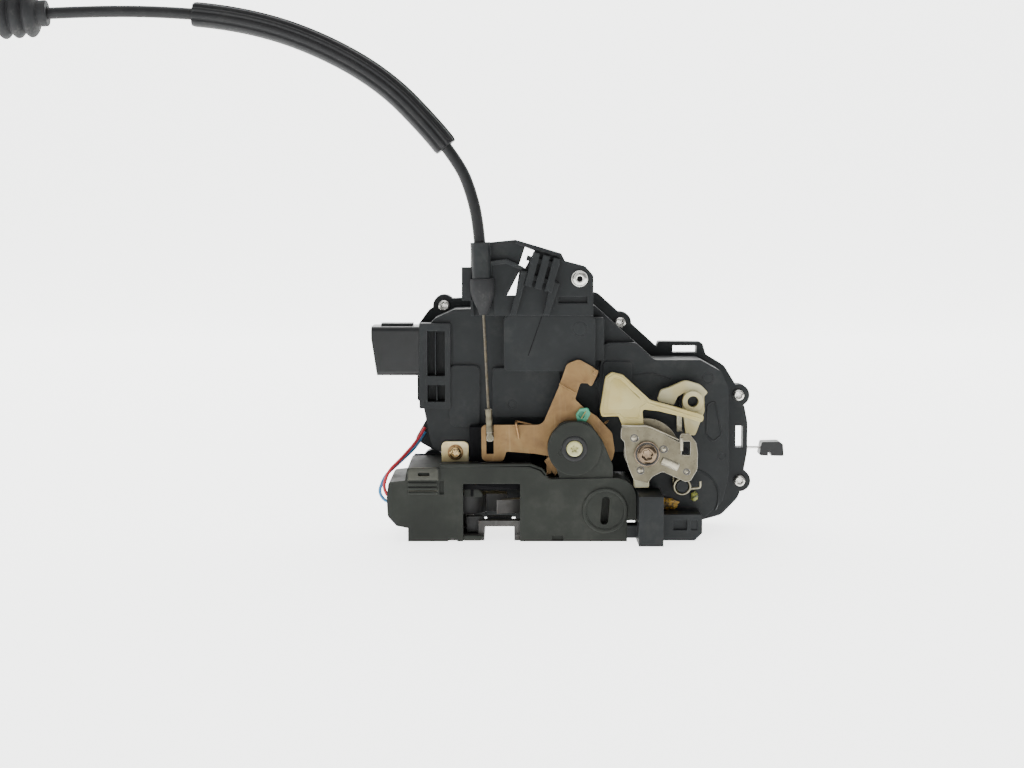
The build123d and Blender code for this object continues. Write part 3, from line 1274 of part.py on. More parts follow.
pieces = {
    "latch_face_plate": make_latch_face_plate(),
    "latch_bearing_plate": make_latch_bearing_plate(),
    "latch_cover": make_latch_cover(),
    "claw_core": make_claw_core(),
    "claw_overmould": make_claw_overmould(),
    "claw_pin": make_plate_pin(claw_x, claw_depth, claw_pin_radius),
    "pawl": make_pawl(),
    "pawl_pin": make_plate_pin(pawl_x, pawl_depth, pawl_pin_radius),
    "claw_spring": make_plate_spring(claw_x, claw_depth, claw_pin_radius,
                                     claw_bottom + claw_thickness + side_gap, (-31.0, 34.0)),
    "pawl_spring": make_plate_spring(pawl_x, pawl_depth, pawl_pin_radius,
                                     claw_bottom + claw_thickness + side_gap, (27.0, 27.0)),
    "striker_bumper": make_striker_bumper(),
    "door_switch": make_door_switch(),
    "key_rotor": make_key_rotor(),
    "guide_block": make_guide_block(),
    "release_lever": make_release_lever(),
    "lever_pivot_pin": make_lever_pivot_pin(),
    "lever_spring": make_lever_spring(),
    "green_tip": make_green_tip(),
    "cable_bracket": make_cable_bracket(),
    "cable_boot": make_cable_boot(),
    "inner_cable": make_inner_cable(),
    "cable_ferrule": make_cable_ferrule(),
    "cable_sheath": make_cable_sheath(),
    "cable_sleeve": make_cable_sleeve(),
    "cable_grommet": make_cable_grommet(),
    "cable_end_fitting": make_cable_end_fitting(),
    "zinc_lever_plate": make_zinc_lever_plate(),
    "outer_handle_lever": make_outer_handle_lever(),
    "lever_backing_disc": make_lever_backing_disc(),
    "shoulder_screw": make_shoulder_screw(),
    "hook_lever": make_hook_lever(),
    "hook_blade_spring": make_hook_blade_spring(),
    "outer_lever_spring": make_outer_lever_spring(),
    "front_housing": make_front_housing(),
    "housing_gasket": make_housing_gasket(),
    "rear_cover": make_rear_cover(),
    "cover_screws": make_cover_screws(),
    "tab_screw": make_tab_screw(),
    "bracket_screw": make_bracket_screw(),
    "connector_shell": make_connector_shell(),
    "connector_pins": make_connector_pins(),
    "red_wire": make_red_wire(),
    "blue_wire": make_blue_wire(),
    "lock_motor": make_lock_motor(),
    "worm": make_worm(),
    "drive_wheel": make_drive_wheel(),
    "wheel_pin": make_wheel_pin(),
    "lock_slider": make_lock_slider(),
    "lock_rod": make_lock_rod(),
    "rod_clip": make_rod_clip(),
    "circuit_carrier": make_circuit_carrier(),
    "lock_switches": make_lock_switches(),
}

os.makedirs("parts", exist_ok=True)
for name, piece in pieces.items():
    piece.part.label = name
    export_step(piece.part, f"parts/{name}.step")
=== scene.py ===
"""Looks of a door latch actuator: finishes, fine pieces, studio and camera around the fixed model."""

import json
import logging
import math
from dataclasses import dataclass, field
from enum import Enum

import bmesh
import bpy
import numpy as np
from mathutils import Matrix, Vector


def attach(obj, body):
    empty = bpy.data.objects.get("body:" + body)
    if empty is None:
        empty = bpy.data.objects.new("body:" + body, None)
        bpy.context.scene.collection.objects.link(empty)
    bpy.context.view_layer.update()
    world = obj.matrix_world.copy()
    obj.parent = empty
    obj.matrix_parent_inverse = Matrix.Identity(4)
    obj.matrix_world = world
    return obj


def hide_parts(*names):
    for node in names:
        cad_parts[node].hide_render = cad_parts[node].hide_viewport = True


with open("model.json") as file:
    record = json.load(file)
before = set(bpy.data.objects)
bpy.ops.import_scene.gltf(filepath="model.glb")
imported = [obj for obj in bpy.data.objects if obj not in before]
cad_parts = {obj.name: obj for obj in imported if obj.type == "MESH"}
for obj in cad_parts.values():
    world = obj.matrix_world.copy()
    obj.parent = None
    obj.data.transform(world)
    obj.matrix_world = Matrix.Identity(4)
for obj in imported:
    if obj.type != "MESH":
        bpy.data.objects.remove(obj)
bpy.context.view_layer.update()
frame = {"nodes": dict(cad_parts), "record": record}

LOG = logging.getLogger("door_latch")
MM = 0.001
MOUNT_DEPTH = 20.0          # the fixing holes lie this far behind the front of the latch cover
TURN = 2 * math.pi

Colour = tuple[float, float, float]
Point = tuple[float, float, float]


def scaled(colour: Colour, factor: float, lift: float = 0.0) -> Colour:
    """Colour times a factor, plus a lift, with no part over 1."""
    return tuple(min(1.0, part * factor + lift) for part in colour)


# ------------------------------------------------------------------ places
def at(x: float, depth: float, z: float) -> np.ndarray:
    """Point in metres from X, the depth behind the latch cover's front, and Z, all in millimetres."""
    return np.array((x, depth - MOUNT_DEPTH, z)) * MM


@dataclass(frozen=True)
class Axes:
    """Where a shape's own axes lie: its origin, the direction it runs along, and the side it starts from."""

    origin: np.ndarray
    along: np.ndarray
    side: np.ndarray

    @classmethod
    def facing_viewer(cls, x: float, depth: float, z: float, turn: float = 0.0) -> "Axes":
        """Axes that run towards the rear from a depth.

        Args:
            x, depth, z: place of the origin in millimetres.
            turn: degrees that the starting side is turned from +X towards +Z.

        Returns:
            The axes.
        """
        angle = math.radians(turn)
        return cls(at(x, depth, z), np.array((0.0, 1.0, 0.0)),
                   np.array((math.cos(angle), 0.0, math.sin(angle))))

    def place(self, points: np.ndarray) -> np.ndarray:
        """Points given as (side, across, along) in millimetres, moved to the row frame in metres.

        Args:
            points: array whose last axis is side, across and along.

        Returns:
            Array of the same shape.
        """
        across = np.cross(self.along, self.side)
        return self.origin + MM * (points[..., :1] * self.side + points[..., 1:2] * across
                                   + points[..., 2:] * self.along)


# ------------------------------------------------------------------ surfaces
def star_rings(profile: list[tuple[float, float, float]], points: int = 6, columns: int = 72) -> np.ndarray:
    """Revolved surface whose rows may be stars, for driver recesses.

    Radius at an angle = radius * (1 + lobes * cos(points * angle)).

    Args:
        profile: (radius, height, lobes) for each row, in millimetres and as a share of the radius.
        points: lobes round the star.
        columns: points round each row.

    Returns:
        Array of rows, columns and three coordinates.
    """
    radius, height, lobes = np.array(profile, float).T
    angle = np.linspace(0, TURN, columns, endpoint=False)
    reach = radius[:, None] * (1 + lobes[:, None] * np.cos(points * angle)[None])
    return np.stack([reach * np.cos(angle), reach * np.sin(angle),
                     np.broadcast_to(height[:, None], reach.shape)], -1)


def revolved(profile: list[tuple[float, float]], columns: int = 48) -> np.ndarray:
    """Surface of revolution on a grid.

    Each row is a circle: side = radius * cos(angle), across = radius * sin(angle), along = height.

    Args:
        profile: (radius, height) pairs in millimetres.
        columns: points round each circle.

    Returns:
        Array of rows, columns and three coordinates.
    """
    return star_rings([(radius, height, 0.0) for radius, height in profile], 1, columns)


def pipe(path: np.ndarray, radius: np.ndarray | float, up: Point, columns: int = 12) -> np.ndarray:
    """Tube round a path: at each point a circle in the plane square to the path.

    The circle's axes are the cross product of the path's direction with a fixed up vector, and the
    cross product of that with the direction.

    Args:
        path: (count, 3) points in metres.
        radius: one radius in metres, or one for each point and column.
        up: vector that is never parallel to the path.
        columns: points round the tube.

    Returns:
        Array of rows, columns and three coordinates, in metres.
    """
    heading = np.gradient(path, axis=0)
    heading /= np.linalg.norm(heading, axis=1, keepdims=True)
    side = np.cross(heading, np.array(up, float))
    side /= np.linalg.norm(side, axis=1, keepdims=True)
    across = np.cross(side, heading)
    angle = np.linspace(0, TURN, columns, endpoint=False)[None, :, None]
    reach = np.broadcast_to(np.asarray(radius, float), (len(path), columns))[..., None] \
        if np.ndim(radius) != 1 else np.asarray(radius)[:, None, None]
    return path[:, None] + reach * (np.cos(angle) * side[:, None] + np.sin(angle) * across[:, None])


def coil_path(radius: float, length: float, turns: float, start: float, steps: int = 28) -> np.ndarray:
    """Helix in its own axes: (radius * cos, radius * sin, share of the length), in millimetres.

    Args:
        radius: of the helix, in millimetres.
        length: from its first turn to its last.
        turns: number of turns.
        start: angle of its first point, in degrees.
        steps: points on each turn.

    Returns:
        (count, 3) array.
    """
    share = np.linspace(0, 1, int(turns * steps) + 1)
    angle = math.radians(start) + share * turns * TURN
    return np.stack([radius * np.cos(angle), radius * np.sin(angle), share * length], -1)


def rounded(corners: list[tuple[float, float]], radii: list[float] | float, steps: int = 6) -> np.ndarray:
    """Closed outline with rounded corners.

    Each corner is replaced by an arc that is tangent to its two sides: its centre lies on the corner's
    bisector at radius / sin(half angle), and its points are spaced evenly in angle.

    Args:
        corners: (x, z) pairs in millimetres.
        radii: one radius, or one for each corner.
        steps: points on each arc.

    Returns:
        (count, 2) array.
    """
    here = np.array(corners, float)
    to_last = np.roll(here, 1, 0) - here
    to_next = np.roll(here, -1, 0) - here
    to_last /= np.linalg.norm(to_last, axis=1, keepdims=True)
    to_next /= np.linalg.norm(to_next, axis=1, keepdims=True)
    half = np.arccos(np.clip((to_last * to_next).sum(1), -1, 1)) / 2
    radius = np.broadcast_to(np.asarray(radii, float), half.shape)
    bisector = to_last + to_next
    bisector /= np.linalg.norm(bisector, axis=1, keepdims=True)
    centre = here + bisector * (radius / np.sin(half))[:, None]
    first = here + to_last * (radius / np.tan(half))[:, None] - centre
    last = here + to_next * (radius / np.tan(half))[:, None] - centre
    start = np.arctan2(first[:, 1], first[:, 0])
    sweep = np.arctan2(last[:, 1], last[:, 0]) - start
    sweep = (sweep + math.pi) % TURN - math.pi
    angle = start[:, None] + sweep[:, None] * np.linspace(0, 1, steps)[None]
    arcs = centre[:, None] + radius[:, None, None] * np.stack([np.cos(angle), np.sin(angle)], -1)
    return arcs.reshape(-1, 2)


def shrunk(outline: np.ndarray, amount: float) -> np.ndarray:
    """Outline moved inwards along the mean of its sides' normals, by an amount in millimetres.

    Args:
        outline: (count, 2) array of X and Z in millimetres.
        amount: distance that it moves inwards.

    Returns:
        (count, 2) array.
    """
    ahead = np.roll(outline, -1, 0) - np.roll(outline, 1, 0)
    ahead /= np.maximum(np.linalg.norm(ahead, axis=1, keepdims=True), 1e-9)
    normal = np.stack([-ahead[:, 1], ahead[:, 0]], -1)
    x, z = outline.T
    turning = np.sign((x * np.roll(z, -1) - np.roll(x, -1) * z).sum())
    return outline + normal * amount * turning


def layers(outline: np.ndarray, steps: list[tuple[float, float]]) -> np.ndarray:
    """Stack of copies of an outline, each moved inwards and set at a depth.

    Args:
        outline: (count, 2) array of X and Z in millimetres.
        steps: (inset, depth) pairs from the front to the back.

    Returns:
        Array of rows, columns and three coordinates, in metres of the row frame.
    """
    rows = [np.stack([ring[:, 0], np.full(len(ring), depth - MOUNT_DEPTH), ring[:, 1]], -1)
            for inset, depth in steps for ring in [shrunk(outline, inset)]]
    return np.stack(rows) * MM


class Shell:
    """Collects surfaces worked out on grids and turns them into one mesh object."""

    def __init__(self) -> None:
        """Starts with no surface."""
        self.points: list[np.ndarray] = []
        self.faces: list[list[int]] = []
        self.uv: list[np.ndarray] = []
        self.count = 0

    def add(self, grid: np.ndarray, closed_round: bool = True, caps: tuple[bool, bool] = (True, True),
            closed_along: bool = False) -> "Shell":
        """Adds a grid of points in metres as quads, with a face on each open end.

        Args:
            grid: array of rows, columns and three coordinates.
            closed_round: whether the last column joins the first.
            caps: whether the first and the last row are closed by a face.
            closed_along: whether the last row joins the first, as on a ring.

        Returns:
            This shell.
        """
        rows, columns = grid.shape[:2]
        index = self.count + np.arange(rows * columns).reshape(rows, columns)
        around = np.linspace(0, 1, columns + 1) if closed_round else np.linspace(0, 1, columns)
        run = np.linalg.norm(np.diff(grid[:, 0], axis=0), axis=1)
        along = np.concatenate([[0], np.cumsum(run)])
        if closed_round:
            index = np.concatenate([index, index[:, :1]], 1)
        if closed_along:
            index = np.concatenate([index, index[:1]], 0)
            along = np.append(along, along[-1] + 0.001)
        corner = [(slice(None, -1), slice(None, -1)), (slice(None, -1), slice(1, None)),
                  (slice(1, None), slice(1, None)), (slice(1, None), slice(None, -1))]
        quads = np.stack([index[c] for c in corner], -1).reshape(-1, 4)
        u, v = np.meshgrid(around, along)
        self.uv.append(np.stack([np.stack([u[c], v[c]], -1) for c in corner], 2).reshape(-1, 2))
        self.faces += quads.tolist()
        if not closed_along:
            for wanted, row in zip(caps, (index[0], index[-1])):
                if wanted:
                    ring = row[:columns].tolist()
                    self.faces.append(ring)
                    self.uv.append(np.zeros((columns, 2)))
        self.points.append(grid.reshape(-1, 3))
        self.count += rows * columns
        return self

    def build(self, name: str, crease: float = 40.0, merge: bool = True) -> bpy.types.Object:
        """Makes the object, with outward faces and sharp edges above an angle in degrees.

        Args:
            name: the mesh's name.
            crease: angle in degrees above which an edge is sharp.
            merge: whether points that coincide become one.

        Returns:
            The finished object.
        """
        mesh = bpy.data.meshes.new(name)
        mesh.from_pydata(np.concatenate(self.points).tolist(), [], self.faces)
        layer = mesh.uv_layers.new(name="along")
        layer.data.foreach_set("uv", np.concatenate(self.uv).ravel())
        tidy = bmesh.new()
        tidy.from_mesh(mesh)
        if merge:
            bmesh.ops.remove_doubles(tidy, verts=tidy.verts, dist=1e-7)
        bmesh.ops.recalc_face_normals(tidy, faces=tidy.faces)
        tidy.to_mesh(mesh)
        tidy.free()
        return shown(mesh, crease)


def shown(mesh: bpy.types.Mesh, crease: float) -> bpy.types.Object:
    """Object at the origin that shows a mesh, smooth except over edges sharper than an angle.

    Args:
        mesh: the mesh to show.
        crease: angle in degrees above which an edge is sharp.

    Returns:
        The new object.
    """
    mesh.shade_smooth()
    mesh.set_sharp_from_angle(angle=math.radians(crease))
    piece = bpy.data.objects.new(mesh.name, mesh)
    bpy.context.scene.collection.objects.link(piece)
    return piece


# ------------------------------------------------------------------ shader arithmetic
class Signal:
    """A number that varies over a surface. Arithmetic on it adds Math nodes to its material."""

    def __init__(self, graph: "Graph", socket: bpy.types.NodeSocket) -> None:
        """Wraps an output socket of a graph."""
        self.graph = graph
        self.socket = socket

    def _with(self, operation: str, left: "Signal | float", right: "Signal | float") -> "Signal":
        """Math node of two values."""
        return self.graph.signal("ShaderNodeMath", {"operation": operation}, {0: left, 1: right})

    def __add__(self, other: "Signal | float") -> "Signal":
        """Sum."""
        return self._with("ADD", self, other)

    def __radd__(self, other: float) -> "Signal":
        """Sum with a number on the left."""
        return self._with("ADD", other, self)

    def __sub__(self, other: "Signal | float") -> "Signal":
        """Difference."""
        return self._with("SUBTRACT", self, other)

    def __rsub__(self, other: float) -> "Signal":
        """Difference with a number on the left."""
        return self._with("SUBTRACT", other, self)

    def __mul__(self, other: "Signal | float") -> "Signal":
        """Product."""
        return self._with("MULTIPLY", self, other)

    def __rmul__(self, other: float) -> "Signal":
        """Product with a number on the left."""
        return self._with("MULTIPLY", other, self)

    def between(self, low: float, high: float) -> "Signal":
        """0 below low, 1 above high and a smooth step between; reversed where low is above high."""
        return self.graph.signal("ShaderNodeMapRange", {"interpolation_type": "SMOOTHSTEP"},
                                 {"Value": self, "From Min": low, "From Max": high})


class Graph:
    """Node graph of one material with a Principled shader."""

    def __init__(self, name: str) -> None:
        """Makes the material and its shader.

        Args:
            name: the material's name.
        """
        self.material = bpy.data.materials.new(name)
        self.material.use_nodes = True
        self.tree = self.material.node_tree
        self.shader = self.tree.nodes["Principled BSDF"]
        self.material.diffuse_color = (0.5, 0.5, 0.5, 1)

    def node(self, kind: str, settings: dict, values: dict) -> bpy.types.Node:
        """Adds a node.

        Args:
            kind: the node's type.
            settings: properties, set first; "stops" gives a colour ramp's (place, colour) pairs.
            values: numbers, colours, sockets or signals for its inputs, by name or number.

        Returns:
            The new node.
        """
        node = self.tree.nodes.new(kind)
        for key, value in settings.items():
            if key == "stops":
                self._fill_ramp(node.color_ramp, value)
            else:
                setattr(node, key, value)
        for key, value in values.items():
            self.feed(node.inputs[key], value)
        return node

    @staticmethod
    def _fill_ramp(ramp: bpy.types.ColorRamp, stops: list[tuple[float, Colour]]) -> None:
        """Gives a colour ramp its stops.

        Args:
            ramp: the ramp to fill.
            stops: place and colour of each stop.
        """
        while len(ramp.elements) < len(stops):
            ramp.elements.new(0.5)
        for element, (place, colour) in zip(ramp.elements, stops):
            element.position = place
            element.color = (*colour, 1)

    def feed(self, socket: bpy.types.NodeSocket, value: object) -> None:
        """Links a signal or socket to an input, or sets a constant on it.

        Args:
            socket: the input.
            value: signal, socket, number or colour.
        """
        source = value.socket if isinstance(value, Signal) else value
        if isinstance(source, bpy.types.NodeSocket):
            self.tree.links.new(source, socket)
        elif isinstance(value, tuple) and len(value) == 3 and socket.type == "RGBA":
            socket.default_value = (*value, 1)
        else:
            socket.default_value = value

    def signal(self, kind: str, settings: dict, values: dict, output: int | str = 0) -> Signal:
        """Adds a node and returns one of its outputs as a signal."""
        return Signal(self, self.node(kind, settings, values).outputs[output])

    def place(self, stretch: Point = (1, 1, 1), turn: Point = (0, 0, 0)) -> bpy.types.NodeSocket:
        """Object coordinates in metres, stretched and turned by a Mapping node.

        Args:
            stretch: factor along each axis.
            turn: angle about each axis, in radians.

        Returns:
            The socket that carries them.
        """
        source = self.node("ShaderNodeTexCoord", {}, {}).outputs["Object"]
        if stretch == (1, 1, 1) and turn == (0, 0, 0):
            return source
        values = {"Vector": source, "Scale": stretch, "Rotation": turn}
        return self.node("ShaderNodeMapping", {}, values).outputs[0]

    def noise(self, size: float, detail: float = 3.0, roughness: float = 0.55,
              stretch: Point = (1, 1, 1), turn: Point = (0, 0, 0), distortion: float = 0.0) -> Signal:
        """Noise whose patches are about a size in millimetres.

        Args:
            size: of a patch, in millimetres.
            detail: number of finer layers.
            roughness: weight of the finer layers.
            stretch: factor along each axis.
            turn: angle about each axis, in radians.
            distortion: how far the patches are warped.

        Returns:
            Signal from 0 to 1.
        """
        return self.signal("ShaderNodeTexNoise", {}, {
            "Vector": self.place(stretch, turn), "Scale": 1 / (size * MM), "Detail": detail,
            "Roughness": roughness, "Distortion": distortion})

    def pits(self, size: float) -> Signal:
        """Distance to scattered points about a size apart, in millimetres."""
        return self.signal("ShaderNodeTexVoronoi", {}, {"Vector": self.place(), "Scale": 1 / (size * MM)})

    def facing_up(self) -> Signal:
        """How far the surface faces upwards."""
        normal = self.node("ShaderNodeNewGeometry", {}, {}).outputs["Normal"]
        return self.signal("ShaderNodeSeparateXYZ", {}, {0: normal}, "Z")

    def rounding(self, radius: float) -> bpy.types.NodeSocket:
        """Normal of the surface as if its edges were rounded by a radius in millimetres."""
        return self.node("ShaderNodeBevel", {"samples": 6}, {"Radius": radius * MM}).outputs[0]

    def edges(self, reach: float = 0.45) -> Signal:
        """1 on a piece's edges and 0 elsewhere, over a reach in millimetres.

        It is one less the dot product of the rounded normal and the true one, in a smooth step.

        Args:
            reach: width of the band along an edge.

        Returns:
            Signal from 0 to 1.
        """
        flat = self.node("ShaderNodeNewGeometry", {}, {}).outputs["Normal"]
        lean = self.signal("ShaderNodeVectorMath", {"operation": "DOT_PRODUCT"},
                           {0: self.rounding(reach), 1: flat}, "Value")
        return (1 - lean).between(0.01, 0.14)

    def mixed(self, share: Signal | float, first: object, second: object) -> bpy.types.NodeSocket:
        """Colour between two colours."""
        return self.node("ShaderNodeMix", {"data_type": "RGBA"},
                         {0: share, 6: first, 7: second}).outputs[2]

    def dress(self, **sockets: object) -> None:
        """Feeds the shader's sockets; an underscore in a name stands for a space."""
        for key, value in sockets.items():
            self.feed(self.shader.inputs[key.replace("_", " ")], value)

    def relief(self, height: Signal, depth: float, strength: float = 1.0, eased: float = 0.0) -> None:
        """Bumps the surface by a height signal, and eases its edges.

        Args:
            height: the signal that raises the surface.
            depth: height of a full signal, in millimetres.
            strength: share of the bump that shows.
            eased: radius that edges are rounded by, in millimetres, or 0.
        """
        values = {"Strength": strength, "Distance": depth * MM, "Height": height}
        if eased > 0:
            values["Normal"] = self.rounding(eased)
        self.feed(self.shader.inputs["Normal"], self.node("ShaderNodeBump", {}, values).outputs[0])


# ------------------------------------------------------------------ finishes
@dataclass(frozen=True)
class Finish:
    """A finish with a name; each kind says how it dresses a graph."""

    name: str

    def make(self) -> bpy.types.Material:
        """Builds the material.

        Returns:
            The new material.
        """
        graph = Graph(self.name)
        self.lay(graph)
        return graph.material


@dataclass(frozen=True)
class MouldedPlastic(Finish):
    """Injection-moulded plastic with a fine grain, dust in patches and rubbed edges."""

    colour: Colour
    roughness: float = 0.48
    dust: float = 0.35
    rub: float = 0.35
    dust_colour: Colour = (0.075, 0.073, 0.066)
    grain: float = 0.03
    eased: float = 0.35
    on_top: float = 0.3
    shine: float = 0.3

    def lay(self, graph: Graph) -> None:
        """Dresses the graph.

        Args:
            graph: graph of the finish's material.
        """
        cloud = graph.noise(26, 4)
        patches = graph.noise(7, 5, 0.65)
        grain = graph.noise(0.42, 2)
        scratches = graph.noise(2.2, 4, 0.7, stretch=(1, 1, 0.12), turn=(0.2, 0.5, 0.3)).between(0.62, 0.75)
        upward = graph.facing_up().between(0.35, 0.95)
        settled = patches.between(0.42, 0.68)
        dust = (cloud.between(0.40, 0.66) * settled * 0.55
                + upward * (self.on_top + settled * 0.4)) * self.dust
        base = graph.mixed(cloud.between(0.3, 0.7), scaled(self.colour, 0.78), scaled(self.colour, 1.22))
        dusty = graph.mixed(dust, base, self.dust_colour)
        rubbed = graph.edges() * self.rub + scratches * 0.10 * self.rub
        worn = graph.mixed(rubbed, dusty, scaled(self.colour, 2.4, 0.02))
        graph.dress(Base_Color=worn,
                    Roughness=self.roughness + (patches - 0.5) * 0.16 + dust * 0.3 - rubbed * 0.08,
                    Specular_IOR_Level=self.shine)
        graph.relief(grain + patches * 0.4, self.grain, 0.5, self.eased)


@dataclass(frozen=True)
class PaleMoulding(Finish):
    """Pale engineering plastic: slightly see-through, yellowed, with grime in patches."""

    colour: Colour
    grime: float = 0.3
    grime_colour: Colour = (0.26, 0.20, 0.11)
    depth: float = 0.06

    def lay(self, graph: Graph) -> None:
        """Dresses the graph.

        Args:
            graph: graph of the finish's material.
        """
        cloud = graph.noise(14, 4)
        specks = graph.noise(1.6, 4, 0.7).between(0.60, 0.74)
        patches = graph.noise(5, 5, 0.62)
        warm = (self.colour[0] * 0.93, self.colour[1] * 0.86, self.colour[2] * 0.66)
        base = graph.mixed(cloud.between(0.35, 0.68), self.colour, warm)
        dirt = (specks * 0.5 + patches.between(0.55, 0.75) * 0.6) * self.grime
        graph.dress(Base_Color=graph.mixed(dirt, base, self.grime_colour),
                    Roughness=0.42 + patches * 0.16 + dirt * 0.2,
                    Subsurface_Weight=self.depth, Subsurface_Radius=(0.002, 0.0015, 0.0008))
        graph.relief(graph.noise(0.5, 2) + patches * 0.5, 0.03, 0.4, 0.35)


@dataclass(frozen=True)
class PlatedSteel(Finish):
    """Pressed steel with a passivated plating whose tint drifts, thin scratches and stains."""

    tints: tuple[Colour, Colour, Colour]
    roughness: float = 0.42
    metallic: float = 0.85
    stains: float = 0.3
    stain_colour: Colour = (0.07, 0.04, 0.02)
    worn: float = 0.4

    def lay(self, graph: Graph) -> None:
        """Dresses the graph.

        Args:
            graph: graph of the finish's material.
        """
        drift = graph.noise(11, 4, 0.6, distortion=0.6)
        blotch = graph.noise(3.2, 5, 0.65)
        scratch = graph.noise(1.4, 3, 0.6, stretch=(1, 1, 0.05), turn=(0.0, 0.9, 0.0)).between(0.6, 0.72)
        tint = graph.node("ShaderNodeValToRGB", {"stops": [
            (0.30, self.tints[0]), (0.52, self.tints[1]), (0.74, self.tints[2])]}, {"Fac": drift}).outputs[0]
        stained = graph.mixed(blotch.between(0.58, 0.78) * self.stains, tint, self.stain_colour)
        bright = graph.mixed(graph.edges() * self.worn + scratch * 0.1, stained,
                             scaled(self.tints[2], 1.5, 0.08))
        graph.dress(Base_Color=bright, Metallic=self.metallic,
                    Roughness=self.roughness + (blotch - 0.5) * 0.22 - scratch * 0.08)
        graph.relief(blotch + graph.noise(0.6, 2) * 0.4, 0.03, 0.35, 0.18)


@dataclass(frozen=True)
class CastMetal(Finish):
    """Die-cast zinc: dull, speckled with pits and darkened where grease has been."""

    colour: Colour
    roughness: float = 0.46
    metallic: float = 0.8
    pitting: float = 0.5

    def lay(self, graph: Graph) -> None:
        """Dresses the graph.

        Args:
            graph: graph of the finish's material.
        """
        cloud = graph.noise(6, 5, 0.62)
        speckle = graph.noise(0.7, 4, 0.7)
        pits = graph.pits(1.6).between(0.28, 0.08)
        base = graph.mixed(cloud.between(0.3, 0.72), scaled(self.colour, 0.66), self.colour)
        flecked = graph.mixed(speckle.between(0.56, 0.72) * 0.5, base, scaled(self.colour, 1.5))
        dark = graph.mixed(pits * self.pitting, flecked, (0.10, 0.085, 0.06))
        graph.dress(Base_Color=graph.mixed(graph.edges() * 0.5, dark, (0.8, 0.78, 0.72)),
                    Metallic=self.metallic, Roughness=self.roughness + (speckle - 0.5) * 0.25 + pits * 0.15)
        graph.relief(speckle * 0.5 - pits + cloud * 0.5, 0.06, 0.5, 0.25)


@dataclass(frozen=True)
class DrawnWire(Finish):
    """Bright drawn steel wire, mottled darker in patches, with a film of grease."""

    colour: Colour
    roughness: float = 0.3
    grease: float = 0.25

    def lay(self, graph: Graph) -> None:
        """Dresses the graph.

        Args:
            graph: graph of the finish's material.
        """
        mottled = graph.noise(1.2, 4, 0.65)
        film = graph.noise(5, 3).between(0.45, 0.7)
        base = graph.mixed(mottled.between(0.4, 0.7) * 0.7, self.colour, scaled(self.colour, 0.45))
        graph.dress(Base_Color=graph.mixed(film * self.grease, base, (0.16, 0.13, 0.08)), Metallic=0.95,
                    Roughness=self.roughness + mottled * 0.18)
        graph.relief(graph.noise(0.3, 2), 0.012, 0.4)


@dataclass(frozen=True)
class SoftRubber(Finish):
    """Matt rubber or soft plastic, with a bloom of dust, lighter on upward faces from that dust and from a
    painted sheen.
    """

    colour: Colour
    roughness: float = 0.6
    bloom: float = 0.3
    # painted sheen: how much lighter upward faces are made, beyond the dust
    streak: float = 0.0

    def lay(self, graph: Graph) -> None:
        """Dresses the graph.

        Args:
            graph: graph of the finish's material.
        """
        cloud = graph.noise(9, 4, 0.6)
        fine = graph.noise(0.9, 4, 0.6)
        dust = cloud.between(0.42, 0.7) * fine.between(0.35, 0.7) * self.bloom
        # upward faces lightened: dust settles there, and the extra setting adds a painted sheen along the top
        upward = graph.facing_up().between(0.2, 1.0) * (self.bloom * 0.4 + self.streak)
        graph.dress(Base_Color=graph.mixed(dust + upward * 0.6, self.colour, (0.15, 0.145, 0.135)),
                    Roughness=self.roughness + fine * 0.12 + dust * 0.1, Specular_IOR_Level=0.2)
        graph.relief(fine + graph.noise(0.3, 2) * 0.5, 0.04, 0.4)


@dataclass(frozen=True)
class Grease(Finish):
    """Old amber grease with dirt in it."""

    colour: Colour
    dirt: Colour

    def lay(self, graph: Graph) -> None:
        """Dresses the graph.

        Args:
            graph: graph of the finish's material.
        """
        lumps = graph.noise(1.5, 4, 0.6)
        graph.dress(Base_Color=graph.mixed(lumps.between(0.42, 0.62), self.colour, self.dirt),
                    Roughness=0.22 + lumps * 0.3, Subsurface_Weight=0.15,
                    Subsurface_Radius=(0.003, 0.002, 0.001))
        graph.relief(lumps + graph.noise(0.5, 3) * 0.4, 0.25, 0.7)


@dataclass(frozen=True)
class StudioPaper(Finish):
    """Pale seamless paper under and behind the object."""

    name: str = "studio_paper"
    colour: Colour = (0.93, 0.935, 0.925)
    glow: float = 2.9

    def lay(self, graph: Graph) -> None:
        """Dresses the graph.

        Args:
            graph: graph of the finish's material.
        """
        fibre = graph.noise(60, 4)
        graph.dress(Base_Color=graph.mixed(fibre, self.colour, scaled(self.colour, 0.985)), Roughness=0.75)
        graph.shader.inputs["Emission Color"].default_value = (*self.colour, 1)
        graph.shader.inputs["Emission Strength"].default_value = self.glow


